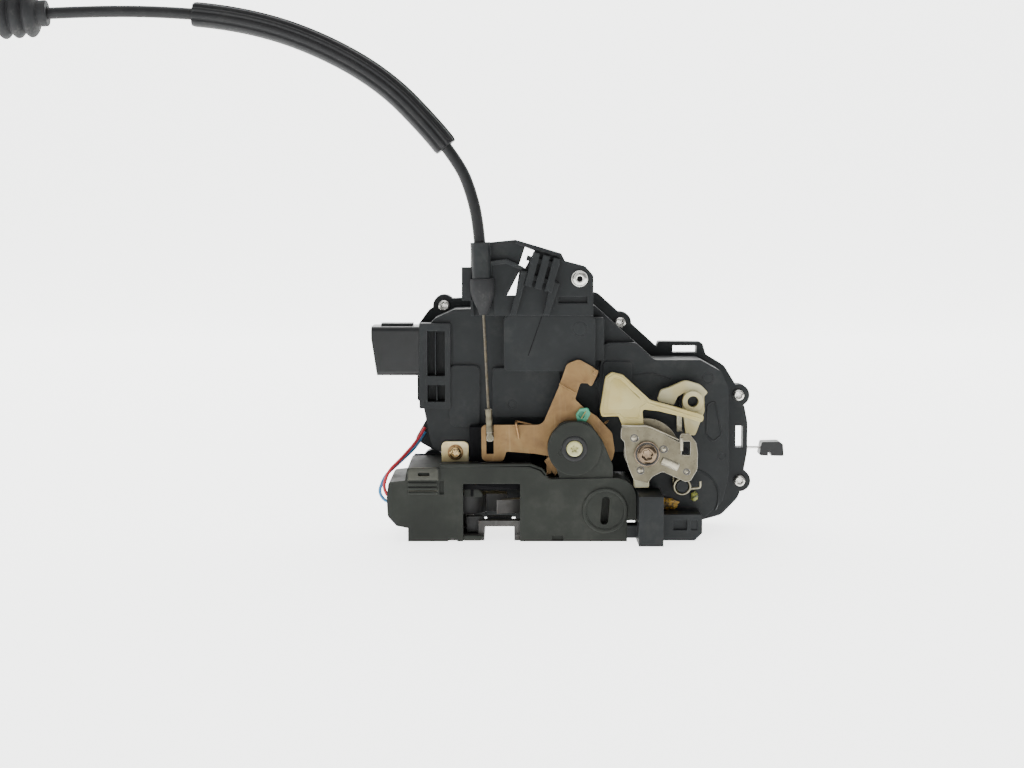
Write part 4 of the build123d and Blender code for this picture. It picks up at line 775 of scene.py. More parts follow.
class Slot(Enum):
    """Material slots of the record, each with its finish."""

    black_plastic = MouldedPlastic("black_moulding", (0.0085, 0.0095, 0.0103), dust=0.25)
    gloss_black = MouldedPlastic("socket_moulding", (0.008, 0.0085, 0.009), 0.34, 0.06, 0.2, shine=0.25)
    dark_plastic = MouldedPlastic("dark_moulding", (0.022, 0.022, 0.0225), 0.5, 0.25, 0.4)
    # the sheath's last setting is a painted sheen along its top
    sheath_plastic = SoftRubber("sheath_skin", (0.009, 0.0092, 0.010), 0.40, 0.06, 0.04)
    rubber = SoftRubber("rubber", (0.016, 0.0165, 0.0175), 0.62, 0.25)
    cream_plastic = PaleMoulding("cream_moulding", (0.36, 0.305, 0.125))
    green_plastic = PaleMoulding("green_tip_moulding", (0.05, 0.30, 0.20), 0.1, depth=0.1)
    red_insulation = SoftRubber("red_insulation", (0.42, 0.035, 0.045), 0.4, 0.12)
    blue_insulation = SoftRubber("blue_insulation", (0.06, 0.20, 0.38), 0.4, 0.12)
    zinc_steel = PlatedSteel("zinc_plating",
                             ((0.55, 0.54, 0.51), (0.66, 0.65, 0.62), (0.74, 0.72, 0.66)), 0.33)
    gold_steel = PlatedSteel("gold_plating",
                             ((0.46, 0.36, 0.17), (0.60, 0.50, 0.27), (0.68, 0.60, 0.38)), 0.4, 0.7)
    chromate_steel = PlatedSteel("chromate_plating",
                                 ((0.145, 0.082, 0.031), (0.195, 0.115, 0.043), (0.22, 0.145, 0.060)),
                                 0.52, 0.5, 0.4)
    bare_steel = PlatedSteel("bare_steel",
                             ((0.07, 0.067, 0.063), (0.11, 0.105, 0.098), (0.15, 0.14, 0.13)), 0.5)
    spring_steel = DrawnWire("spring_wire", (0.27, 0.25, 0.18))
    zinc_alloy = CastMetal("die_cast_zinc", (0.155, 0.138, 0.094))
    brass = PlatedSteel("contact_brass", ((0.62, 0.45, 0.18), (0.72, 0.55, 0.24), (0.76, 0.62, 0.32)), 0.3)


class Accent(Enum):
    """Finishes of single pieces that differ from their slot."""

    latch_grey = MouldedPlastic("latch_cover_moulding",
                                (0.0165, 0.0185, 0.0155), 0.56, 0.28, 0.4, on_top=0.0, shine=0.16)
    housing_black = MouldedPlastic("housing_moulding", (0.0078, 0.0094, 0.0102), 0.5, 0.22, 0.35, shine=0.22)
    dusty_block = MouldedPlastic("dusty_moulding",
                                 (0.040, 0.041, 0.032), 0.6, 1.0, 0.5, (0.16, 0.15, 0.11), on_top=0.6)
    satin_black = MouldedPlastic("satin_moulding", (0.007, 0.0073, 0.008), 0.4, 0.12, 0.25)
    # painted shade: near-black matt moulding for slots, gaps, recesses and walls put where only shade falls
    recess_black = MouldedPlastic("recess_shadow", (0.004, 0.004, 0.0048), 0.7, 0.0, 0.0, shine=0.08)
    # painted shade: steel made dark for the plate, claw and pawl deep in the latch pocket, and for rings
    # round the domes and the shoulder screw, where shade falls
    dark_steel = PlatedSteel("painted_shade_steel",
                             ((0.030, 0.029, 0.028), (0.050, 0.048, 0.046), (0.075, 0.072, 0.068)), 0.5, 0.6)
    screw_silver = PlatedSteel("screw_silver",
                               ((0.42, 0.41, 0.37), (0.56, 0.55, 0.51), (0.68, 0.67, 0.63)), 0.26, 0.95, 0.4)
    screw_gold = PlatedSteel("screw_gold",
                             ((0.36, 0.22, 0.09), (0.50, 0.34, 0.15), (0.66, 0.50, 0.28)), 0.26, 0.95)
    screw_bronze = PlatedSteel("screw_bronze",
                               ((0.085, 0.062, 0.042), (0.15, 0.11, 0.073), (0.27, 0.21, 0.15)), 0.24, 0.95)
    pin_cream = PaleMoulding("pin_moulding", (0.38, 0.39, 0.22), 0.9)
    hook_cream = PaleMoulding("hook_moulding", (0.37, 0.34, 0.20), 0.5)
    grey_tab = PaleMoulding("grey_tab_moulding", (0.46, 0.46, 0.36), 0.5)
    cable_steel = DrawnWire("stranded_steel", (0.13, 0.115, 0.09), 0.36, 0.5)
    # painted highlight: zinc lighter than the plate, for the raised domes, embossed bar, fold bead and blade
    # end
    bright_zinc = CastMetal("painted_highlight_zinc", (0.36, 0.33, 0.25), 0.36, 0.85, 0.2)
    bronze_wire = DrawnWire("bronze_wire", (0.34, 0.20, 0.095), 0.34)
    amber_grease = Grease("amber_grease", (0.42, 0.25, 0.035), (0.07, 0.045, 0.015))
    green_grease = Grease("green_grease", (0.20, 0.21, 0.035), (0.035, 0.04, 0.015))


class Finisher:
    """Keeps one material for each finish, and registers finished pieces with the model."""

    def __init__(self) -> None:
        """Reads which slot and which body each node has."""
        record = frame["record"]
        self.made: dict[str, bpy.types.Material] = {}
        self.slots = {part["node"]: part["material_slot"] for part in record["subparts"]}
        self.bodies = {node: body for body, nodes in record["behaviour"]["bodies"].items() for node in nodes}

    def material(self, finish: Slot | Accent) -> bpy.types.Material:
        """Material of a finish, built once.

        Args:
            finish: the wanted finish.

        Returns:
            Its material.
        """
        if finish.value.name not in self.made:
            self.made[finish.value.name] = finish.value.make()
        return self.made[finish.value.name]

    def paint(self, piece: bpy.types.Object, finish: Slot | Accent) -> None:
        """Gives a piece one material."""
        piece.data.materials.clear()
        piece.data.materials.append(self.material(finish))

    def nodes(self) -> None:
        """Gives every node of the model its slot's finish."""
        for name, node in frame["nodes"].items():
            finish = Slot[self.slots[name]]
            if len(node.material_slots) == 0:
                node.data.materials.append(None)
            for holder in node.material_slots:
                holder.material = self.material(finish)

    def settle(self, piece: bpy.types.Object, node: str, finish: Slot | Accent | None = None,
               replaces: bool = False) -> bpy.types.Object:
        """Paints a piece, and makes it ride with the body of a node.

        Args:
            piece: the finished object.
            node: the node that it belongs to.
            finish: its finish, or None for the node's own.
            replaces: whether it stands for the node.

        Returns:
            The piece.
        """
        self.paint(piece, finish or Slot[self.slots[node]])
        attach(piece, self.bodies[node])
        if replaces:
            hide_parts(node)
        LOG.info("%s: %d faces", piece.name, len(getattr(piece.data, "polygons", ())))
        return piece


FINISHER = Finisher()


def finished_node(node: str, finish: Slot | Accent) -> None:
    """Gives a node of the model a finish other than its slot's own.

    Args:
        node: name of the node.
        finish: the finish that it gets.
    """
    for holder in frame["nodes"][node].material_slots:
        holder.material = FINISHER.material(finish)
    LOG.info("%s: finished as %s", node, finish.name)


def bent(points: np.ndarray | list[Point], reach: float, steps: int = 7) -> np.ndarray:
    """Path of straight runs with each inner corner rounded by a quadratic curve.

    The curve runs from a reach before the corner to a reach after it:
    (1 - t)^2 * before + 2 t (1 - t) * corner + t^2 * after.

    Args:
        points: three or more corners.
        reach: distance from a corner where its curve starts, in the points' units.
        steps: points on each curve.

    Returns:
        (count, 3) array.
    """
    points = np.asarray(points, float)
    here = points[1:-1]
    back = points[:-2] - here
    ahead = points[2:] - here
    back /= np.linalg.norm(back, axis=1, keepdims=True)
    ahead /= np.linalg.norm(ahead, axis=1, keepdims=True)
    t = np.linspace(0, 1, steps)[None, :, None]
    curves = (1 - t) ** 2 * (here + back * reach)[:, None] + 2 * t * (1 - t) * here[:, None] \
        + t ** 2 * (here + ahead * reach)[:, None]
    return np.concatenate([points[:1], curves.reshape(-1, 3), points[-1:]])


def in_frame(points: list[Point] | np.ndarray) -> np.ndarray:
    """(x, depth, z) points in millimetres as metres of the row frame."""
    return (np.asarray(points, float) - np.array((0, MOUNT_DEPTH, 0))) * MM


@dataclass(frozen=True)
class Plate:
    """Flat piece facing the viewer: a rounded outline between two depths. Sizes in millimetres."""

    name: str
    node: str
    finish: Accent | Slot
    corners: list[tuple[float, float]]      # x and z, anticlockwise as the viewer sees them
    front: float
    back: float
    corner_radius: float | list[float] = 0.6
    ease: float = 0.2

    def build(self) -> bpy.types.Object:
        """Lofts the outline from its eased front edge to its back.

        Returns:
            The finished object.
        """
        outline = rounded(self.corners, self.corner_radius)
        rows = layers(outline, [(self.ease, self.front), (self.ease * 0.3, self.front + self.ease * 0.3),
                                (0.0, self.front + self.ease), (0.0, self.back)])
        return FINISHER.settle(Shell().add(rows).build(self.name, 42.0), self.node, self.finish)


def ridge_rings(rings: list[tuple[float, float, float, float]], width: float, height: float,
                sunk: float) -> Shell:
    """Thin rings facing the viewer, each a ridge with a triangular section.

    Args:
        rings: x, depth, z and radius of each, in millimetres.
        width: from the ridge to either of its feet.
        height: of the ridge in front of the surface.
        sunk: of the feet behind the surface.

    Returns:
        Shell that holds them.
    """
    shell = Shell()
    for x, depth, z, radius in rings:
        section = [(radius - width, sunk), (radius, -height), (radius + width, sunk)]
        shell.add(Axes.facing_viewer(x, depth, z).place(revolved(section, 48)), closed_along=True)
    return shell


def box_corners(left: float, low: float, right: float, high: float) -> list[tuple[float, float]]:
    """Corners of an upright rectangle, anticlockwise from its lower left."""
    return [(left, low), (right, low), (right, high), (left, high)]


@dataclass(frozen=True)
class Wire:
    """Round wire or bead along corners that it rounds. Sizes in millimetres."""

    name: str
    node: str
    finish: Accent | Slot
    path: list[Point]                       # x, depth, z
    radius: float
    reach: float = 1.0
    columns: int = 12
    closed: bool = False

    def build(self) -> bpy.types.Object:
        """Sweeps a circle along the rounded path, all the way round if it is closed.

        Returns:
            The finished object.
        """
        path = np.array(self.path, float)
        if self.closed:
            loop = bent(np.concatenate([path, path[:2]]), self.reach)[1:-1]
            path = np.concatenate([loop, loop[:1]])
        elif len(path) > 2:
            path = bent(path, self.reach)
        grid = pipe(in_frame(path), self.radius * MM, (0, 1, 0), self.columns)
        shell = Shell().add(grid[:-1] if self.closed else grid, closed_along=self.closed)
        return FINISHER.settle(shell.build(self.name, 60.0), self.node, self.finish)


@dataclass(frozen=True)
class Ring:
    """Flat ring facing the viewer, with a rounded section. Sizes in millimetres."""

    name: str
    node: str
    finish: Accent | Slot
    place: Point                            # x, depth of the surface it lies on, z
    inner: float
    outer: float
    height: float

    def build(self) -> bpy.types.Object:
        """Revolves a low arch between the two radii.

        Returns:
            The finished object.
        """
        share = np.linspace(0, 1, 9)
        radius = self.inner + (self.outer - self.inner) * share
        arch = -self.height * np.sin(share * math.pi) ** 0.5
        profile = list(zip(radius.tolist(), arch.tolist())) + [((self.inner + self.outer) / 2, 0.1)]
        grid = Axes.facing_viewer(*self.place).place(revolved(profile, 64))
        piece = Shell().add(grid, closed_along=True).build(self.name, 50.0)
        return FINISHER.settle(piece, self.node, self.finish)


@dataclass(frozen=True)
class DriverScrew:
    """Pan-head screw with a star recess, and a washer face if it has one. Sizes in millimetres."""

    name: str
    node: str
    place: Point                # x, depth of the head's underside, z
    finish: Accent | Slot
    head: float = 2.6
    height: float = 1.9
    recess: float = 1.35
    washer: float = 0.0
    washer_thickness: float = 0.9
    shank: float = 1.55
    length: float = 10.8
    turn: float = 15.0
    lobes: float = 0.16

    def build(self, replaces: bool) -> bpy.types.Object:
        """Revolves the head, with star-shaped rows where the recess is, and the shank.

        Args:
            replaces: whether it stands for its node.

        Returns:
            The finished object.
        """
        rows = [(0.05, 1.1, 0.0), (self.recess * 0.45, 1.1, 0.0), (self.recess * 0.84, 1.05, self.lobes),
                (self.recess, 0.22, self.lobes), (self.recess * 1.10, 0.06, self.lobes * 0.8),
                (self.recess * 1.3, 0.0, 0.0), (self.head * 0.72, 0.06, 0.0), (self.head * 0.9, 0.32, 0.0),
                (self.head * 0.985, 0.75, 0.0), (self.head, self.height - 0.15, 0.0),
                (self.head * 0.985, self.height, 0.0)]
        if self.washer > 0:
            rows += [(self.washer * 0.97, self.height, 0.0), (self.washer, self.height + 0.12, 0.0),
                     (self.washer, self.height + self.washer_thickness, 0.0)]
        base = self.height + (self.washer_thickness if self.washer > 0 else 0.0)
        rows += [(self.shank, base, 0.0), (self.shank, base + self.length - 0.6, 0.0),
                 (self.shank * 0.7, base + self.length, 0.0)]
        x, depth, z = self.place
        axes = Axes.facing_viewer(x, depth - base, z, self.turn)
        piece = Shell().add(axes.place(star_rings(rows))).build(self.name, 34.0)
        return FINISHER.settle(piece, self.node, self.finish, replaces)


# ------------------------------------------------------------------ the pull cable
@dataclass
class PullCable:
    """Sheathed cable of the inner handle and all that it carries. Sizes in millimetres."""

    sheath_radius: float = 2.5
    sleeve_radius: float = 5.3
    bore_gap: float = 0.06
    grommet_radius: float = 10.0
    tilt: float = 2.83
    nipple: tuple[float, float] = (-5.1, 44.5)
    depth: float = 6.5
    strand_radius: float = 0.2
    core_radius: float = 0.24
    strand_offset: float = 0.4              # from the wire's axis to a strand's
    strand_pitch: float = 5.2
    wire_span: tuple[float, float] = (56.2, 46.6)       # foot and length
    boot_span: tuple[float, float] = (98.05, 15.6)
    crimp_foot: float = 46.6
    groove_angles: tuple[float, ...] = (200.0, 232.0, 262.0, 300.0, 20.0, 60.0, 100.0, 140.0)
    groove_depth: float = 0.75
    groove_width: float = 5.5               # degrees
    sleeve_ends: tuple[float, float] = (-133.0, -23.6)
    sleeve_low: float = 160.0
    route: list[Point] = field(default_factory=lambda: [
        (-8.85, 6.5, 120.4), (-9.71, 6.5, 137.8), (-14.4, 6.8, 155.0), (-19.0, 7.1, 163.6),
        (-28.4, 7.6, 176.2), (-50.6, 8.8, 199.0), (-82.0, 10.8, 216.0), (-114.0, 12.6, 225.2),
        (-151.0, 13.8, 228.2), (-190.0, 14.2, 227.6), (-240.0, 13.4, 224.4), (-270.0, 11.0, 218.0)])

    def cable_axes(self, height: float) -> Axes:
        """Axes on the straight part of the cable at a height, running up along it.

        Args:
            height: z of their origin, in millimetres.

        Returns:
            The axes.
        """
        angle = math.radians(self.tilt)
        x = self.nipple[0] - (height - self.nipple[1]) * math.tan(angle)
        return Axes(at(x, self.depth, height), np.array((-math.sin(angle), 0.0, math.cos(angle))),
                    np.array((math.cos(angle), 0.0, math.sin(angle))))

    def sheath(self) -> tuple[bpy.types.Object, np.ndarray]:
        """Sheath as a smooth spline with a round section; also returns points along its centre.

        Returns:
            The sheath, and a (count, 3) array of points in metres.
        """
        curve = bpy.data.curves.new("sheath_curve", "CURVE")
        curve.dimensions = "3D"
        spline = curve.splines.new("NURBS")
        spline.points.add(len(self.route) - 1)
        control = np.concatenate([in_frame(self.route), np.ones((len(self.route), 1))], 1)
        spline.points.foreach_set("co", control.ravel())
        spline.order_u = 3
        spline.use_endpoint_u = True
        spline.use_smooth = True
        curve.resolution_u = 14
        piece = bpy.data.objects.new("sheath", curve)
        bpy.context.scene.collection.objects.link(piece)
        centre = bpy.data.meshes.new_from_object(piece)
        path = np.empty(len(centre.vertices) * 3)
        centre.vertices.foreach_get("co", path)
        bpy.data.meshes.remove(centre)
        curve.bevel_depth = self.sheath_radius * MM
        curve.bevel_resolution = 8
        curve.use_fill_caps = True
        return piece, path.reshape(-1, 3)

    def sleeve(self, path: np.ndarray) -> bpy.types.Object:
        """Soft split sleeve with ridges along it.

        Radius at an angle = outer radius less narrow grooves, each 1 / (1 + (offset / width)^4).

        Args:
            path: points along the sheath's centre, in metres.

        Returns:
            The finished object.
        """
        x, z = path[:, 0] / MM, path[:, 2] / MM
        far, near = self.sleeve_ends
        run = path[(x > far) & (x < near) & (z > self.sleeve_low)]
        share = np.linspace(0, 1, 90)
        length = np.concatenate([[0], np.cumsum(np.linalg.norm(np.diff(run, axis=0), axis=1))])
        run = np.stack([np.interp(share * length[-1], length, run[:, i]) for i in range(3)], -1)
        angle = np.linspace(0, 360, 96, endpoint=False)
        offset = (angle[:, None] - np.array(self.groove_angles)[None] + 180) % 360 - 180
        cut = (1 / (1 + (offset / self.groove_width) ** 4)).sum(1)
        outer = (self.sleeve_radius - self.groove_depth * cut) * MM
        lip = np.ones(len(share))
        lip[[0, -1]] = 0.93
        bore = np.full((len(share), len(angle)), (self.sheath_radius + self.bore_gap) * MM)
        outside, inside = (pipe(run, reach, (0, 1, 0), len(angle))
                           for reach in (lip[:, None] * outer[None], bore))
        ring = np.concatenate([outside, inside[::-1]])
        return Shell().add(ring, closed_along=True).build("sleeve", 50.0)

    def grommet(self) -> bpy.types.Object:
        """Bellows grommet: a body whose radius waves along it, between two collars.

        Returns:
            The finished object.
        """
        before, after = in_frame(self.route[-3:-1])
        along = (after - before) / np.linalg.norm(after - before)
        axes = Axes(before + along * 5 * MM, along, np.cross(along, (0, 1, 0)))
        run = np.linspace(4.4, 27.2, 70)
        wave = self.grommet_radius - 2.6 + 2.5 * np.abs(np.sin((run - 4.4) / 5.7 * math.pi)) ** 0.8
        profile = [(2.7, 0.0), (5.3, 0.0), (5.6, 0.4), (5.6, 3.9), (7.0, 4.3)]
        profile += list(zip(wave.tolist(), run.tolist()))
        profile += [(7.0, 27.3), (5.6, 27.6), (5.6, 31.6), (5.3, 32.0), (2.7, 32.0)]
        return Shell().add(axes.place(revolved(profile, 64)), closed_along=True).build("grommet", 50.0)

    def boot(self) -> bpy.types.Object:
        """Teardrop boot: its radius follows a smooth curve from the wire up to the guide tube.

        Returns:
            The finished object.
        """
        foot, length = self.boot_span
        height = np.linspace(0, length, 36)
        radius = np.interp(height, (0, 1.0, 3.0, 5.0, 7.0, 8.8, 10.4, 12.0, 14.6, length),
                           (1.8, 2.05, 2.85, 3.7, 4.5, 5.0, 5.22, 5.28, 5.22, 4.9))
        smooth = np.convolve(np.pad(radius, 2, mode="edge"), np.ones(5) / 5, "valid")
        profile = [(2.0, length), (1.45, 0.0)] + list(zip(smooth.tolist(), height.tolist()))
        grid = self.cable_axes(foot).place(revolved(profile, 48))
        return Shell().add(grid, closed_along=True).build("boot", 50.0)

    def wire(self) -> bpy.types.Object:
        """Stranded wire: six strands wound round the cable's axis, and a core.

        Each strand follows (offset * cos, offset * sin, height) with the angle growing along the height.

        Returns:
            The finished object.
        """
        foot, length = self.wire_span
        low = self.cable_axes(foot)
        height = np.linspace(0, length, 230)
        shell = Shell()
        for strand in range(6):
            angle = height / self.strand_pitch * TURN + strand * TURN / 6
            offset = self.strand_offset
            path = np.stack([offset * np.cos(angle), offset * np.sin(angle), height], -1)
            shell.add(pipe(low.place(path), self.strand_radius * MM, (0, 1, 0), 7))
        core = np.stack([0 * height[:2], 0 * height[:2], height[[0, -1]]], -1)
        shell.add(pipe(low.place(core), self.core_radius * MM, (0, 1, 0), 8))
        return shell.build("pull_wire", 60.0, merge=False)

    def ferrule_sleeve(self) -> bpy.types.Object:
        """Crimped tube over the ferrule, waisted where it was pressed.

        Returns:
            The finished object.
        """
        height = np.linspace(0, 10.2, 50)
        radius = 1.52 - sum(0.13 * np.exp(-((height - place) / 0.9) ** 2) for place in (3.4, 7.0))
        profile = [(0.62, 0.0), (1.3, 0.0)] + list(zip(radius.tolist(), (height + 0.15).tolist())) \
            + [(1.3, 10.5), (0.62, 10.5)]
        grid = self.cable_axes(self.crimp_foot).place(revolved(profile, 32))
        return Shell().add(grid).build("ferrule_sleeve", 50.0)

    def build(self) -> None:
        sheath, path = self.sheath()
        FINISHER.settle(sheath, "cable_sheath", replaces=True)
        sleeve = FINISHER.settle(self.sleeve(path), "cable_sleeve", replaces=True)
        grommet = FINISHER.settle(self.grommet(), "cable_grommet", replaces=True)
        FINISHER.settle(self.boot(), "cable_boot", replaces=True)
        FINISHER.settle(self.wire(), "inner_cable", Accent.cable_steel, replaces=True)
        FINISHER.settle(self.ferrule_sleeve(), "cable_ferrule")


# ------------------------------------------------------------------ the cable bracket
@dataclass
class CableBracket:
    """Moulded bracket above the housing, and its screw. Sizes in millimetres."""

    screw: Point = (33.8, 10.0, 113.5)

    def build(self) -> None:
        """Finishes the bracket, makes its washer-faced screw, and puts a painted-shade disc in the screw's
        recess.
        """
        finished_node("cable_bracket", Accent.housing_black)
        DriverScrew("bracket_screw_piece", "bracket_screw", self.screw, Accent.screw_silver, head=3.2,
                    height=1.0, recess=1.15, washer=3.6, washer_thickness=0.9, lobes=0.03).build(True)
        x, depth, z = self.screw
        # painted shade: black disc deep in the screw's recess
        Ring("bracket_screw_socket", "bracket_screw", Accent.recess_black, (x, depth - 1.55, z), 0.02, 1.12,
             0.08).build()


# ------------------------------------------------------------------ the latch unit
@dataclass
class LatchUnit:
    """Cover, its lining, plates, springs, switch and key rotor. Sizes in millimetres."""

    switch_block: tuple[Point, Point] = ((-40.7, -1.26, 26.7), (-27.1, 0.3, 32.3))
    tower: tuple[float, float] = (31.5, 40.5)
    rotor: tuple[float, float] = (44.8, 13.6)
    tab_screw: Point = (-20.5, 18.0, 36.6)
    wire: float = 0.55
    coil_low: float = 18.9
    coil_height: float = 2.5
    coil_turns: float = 2.9

    def switch_cap(self) -> bpy.types.Object:
        """Rounded block over the switch's pad, with its slot, lofted as a rim that follows a slot outline.

        Returns:
            The finished object.
        """
        (left, front, low), (right, back, high) = self.switch_block
        outside = rounded(box_corners(left, low, right, high), [0.5, 0.5, 1.4, 1.8])
        slot = rounded(box_corners(-36.2, 28.6, -31.0, 30.4), 0.6)
        rim = layers(outside, [(0.0, back), (0.0, front + 0.5), (0.14, front + 0.15), (0.5, front)])
        hole = layers(slot, [(0.0, front), (0.12, front + 0.2), (0.12, back)])
        return Shell().add(np.concatenate([rim, hole]), closed_along=True).build("switch_cap", 42.0)

    def coil(self, name: str, node: str, place: tuple[float, float], radius: float,
             leg: tuple[float, float]) -> None:
        """Flat torsion spring round a vertical pin, with one straight leg.

        Args:
            name: the piece's name.
            node: the node that it stands for.
            place: x and depth of the pin.
            radius: of the coil.
            leg: x and depth of the leg's end.
        """
        low, height, turns = self.coil_low, self.coil_height, self.coil_turns
        x, depth = place
        centre = Axes(at(x, depth, low), np.array((0.0, 0, 1)), np.array((1.0, 0, 0)))
        path = centre.place(coil_path(radius, height, turns, 90 - 360 * turns))
        end = in_frame([(leg[0], leg[1], low + height)])
        path = np.concatenate([path, path[-1:] + (end - path[-1:]) * np.array((0.5, 0.96))[:, None]])
        shell = Shell().add(pipe(path, self.wire * MM, (0, 0, 1), 12))
        FINISHER.settle(shell.build(name, 60.0), node, replaces=True)

    def marks(self) -> bpy.types.Object:
        """Shallow rings that the mould leaves on the tower's disc, and a bead round the key rotor.

        Returns:
            The finished object.
        """
        shell = ridge_rings([(25.6, -0.02, 38.6, 1.3), (31.5, -0.02, 40.5, 4.6)], 0.16, 0.12, 0.04)
        bead = revolved([(8.35, -0.5), (8.7, -0.95), (9.5, -0.95), (9.85, -0.5), (9.2, 0.05)], 72)
        shell.add(Axes.facing_viewer(self.rotor[0], 0.0, self.rotor[1]).place(bead), closed_along=True)
        return shell.build("cover_marks", 42.0)

    def inner_walls(self) -> list[Plate | Wire | Ring]:
        """Walls behind the levers, mostly in painted-shade black, the rear wall, the pocket's lining and the
        lip of the cover.

        Returns:
            Pieces that are still to be built.
        """
        # dark is the painted-shade black: sheets behind the levers and in the pocket where only shade falls
        dark, black, cover = Accent.recess_black, Accent.housing_black, Accent.latch_grey
        rear = [(-40.0, 0.5), (-8.0, 0.5), (-8.0, 9.8), (6.0, 9.8), (6.0, 0.5), (62.0, 2.4), (62.0, 27.5),
                (20.5, 27.5), (12.2, 32.8), (-40.0, 32.8)]
        horn = [(-16.4, 18.6), (-8.0, 18.6), (-8.6, 20.6), (-11.4, 23.8), (-13.4, 24.9), (-16.4, 24.9)]
        lip = [(-26.8, 32.4), (11.9, 32.4), (16.5, 30.7), (18.6, 28.4), (19.6, 29.2), (17.7, 31.9),
               (12.7, 33.9), (-26.8, 33.9)]
        pin_x, pin_z = self.tower
        return [
            Plate("rear_wall", "latch_cover", black, rear, 40.2, 41.4, 0.5),
            Plate("housing_apron", "front_housing", dark, box_corners(-14.2, 33.1, 12.6, 48.5), 12.6, 22.0),
            Plate("apron_left", "front_housing", black, box_corners(-27.0, 33.2, -13.0, 48.5), 28.0, 31.0),
            Plate("mouth_back", "latch_cover", black, box_corners(-9.5, 3.0, 7.5, 11.5), 44.2, 45.4),
            Plate("ledge_back", "latch_cover", black, box_corners(53.4, 7.0, 59.6, 12.5), 13.3, 14.4),
            Plate("apron_step", "front_housing", dark, box_corners(12.0, 28.2, 40.5, 48.5), 30.6, 34.0),
            Plate("apron_right", "front_housing", dark, box_corners(40.0, 28.1, 57.0, 48.5), 16.8, 22.0),
            Plate("pocket_horn", "latch_cover", cover, horn, 4.6, 9.4, [0.4, 0.8, 2.0, 2.5, 1.0, 0.4]),
            Plate("pocket_groove", "latch_cover", dark, box_corners(-13.5, 18.9, -12.3, 23.0), 4.45, 4.8, 0.5,
                  0.05),
            Plate("pocket_block", "latch_cover", Slot.dark_plastic,
                  [(-15.4, 2.9), (-7.4, 2.9), (-7.4, 8.4), (-8.8, 9.8), (-15.4, 9.8)], 6.4, 10.4, 0.7),
            Plate("pocket_shelf", "latch_cover", dark, box_corners(-16.7, 22.3, 8.0, 25.2), 2.4, 5.9, 0.1),
            Plate("mouth_lip", "latch_cover", cover, [(-16.5, 0.2), (-9.4, 0.2), (-7.3, 2.5), (-16.5, 2.5)],
                  0.3, 2.1, 0.4),
            Plate("cover_lip", "latch_cover", cover, lip, 0.0, 1.8, [0.2, 2.0, 2.0, 0.3, 0.3, 2.0, 2.0, 0.5]),
            Wire("switch_line", "latch_cover", Accent.dusty_block,
                 [(-40.3, -0.05, 22.1), (-27.5, -0.05, 22.1)], 0.25),
            Ring("pin_film", "latch_cover", Accent.satin_black, (pin_x, -0.02, pin_z), 3.6, 5.6, 0.06)]

    def build(self) -> None:
        """Makes every piece of the latch unit."""
        finished_node("latch_cover", Accent.latch_grey)
        FINISHER.settle(self.switch_cap(), "latch_cover", Accent.dusty_block)
        FINISHER.settle(self.marks(), "latch_cover", Accent.latch_grey)
        finished_node("key_rotor", Accent.latch_grey)
        finished_node("guide_block", Accent.housing_black)
        self.coil("claw_spring_piece", "claw_spring", (-15.5, 19.5), radius=4.8, leg=(-31.0, 34.0))
        self.coil("pawl_spring_piece", "pawl_spring", (17.0, 15.0), radius=4.3, leg=(27.0, 27.0))
        DriverScrew("tab_screw_piece", "tab_screw", self.tab_screw, Accent.screw_gold, head=2.55, height=1.9,
                    recess=1.5, washer=3.4, washer_thickness=0.7, length=9.0).build(True)
        x, depth, z = self.tab_screw
        Ring("tab_screw_rim", "tab_screw", Accent.bronze_wire, (x, depth - 0.7, z), 2.65, 3.38, 0.14).build()
        # painted shade: the face plate, claw core and pawl deep in the pocket are made dark
        for node in ("latch_face_plate", "claw_core", "pawl"):
            finished_node(node, Accent.dark_steel)
        for piece in self.inner_walls():
            piece.build()


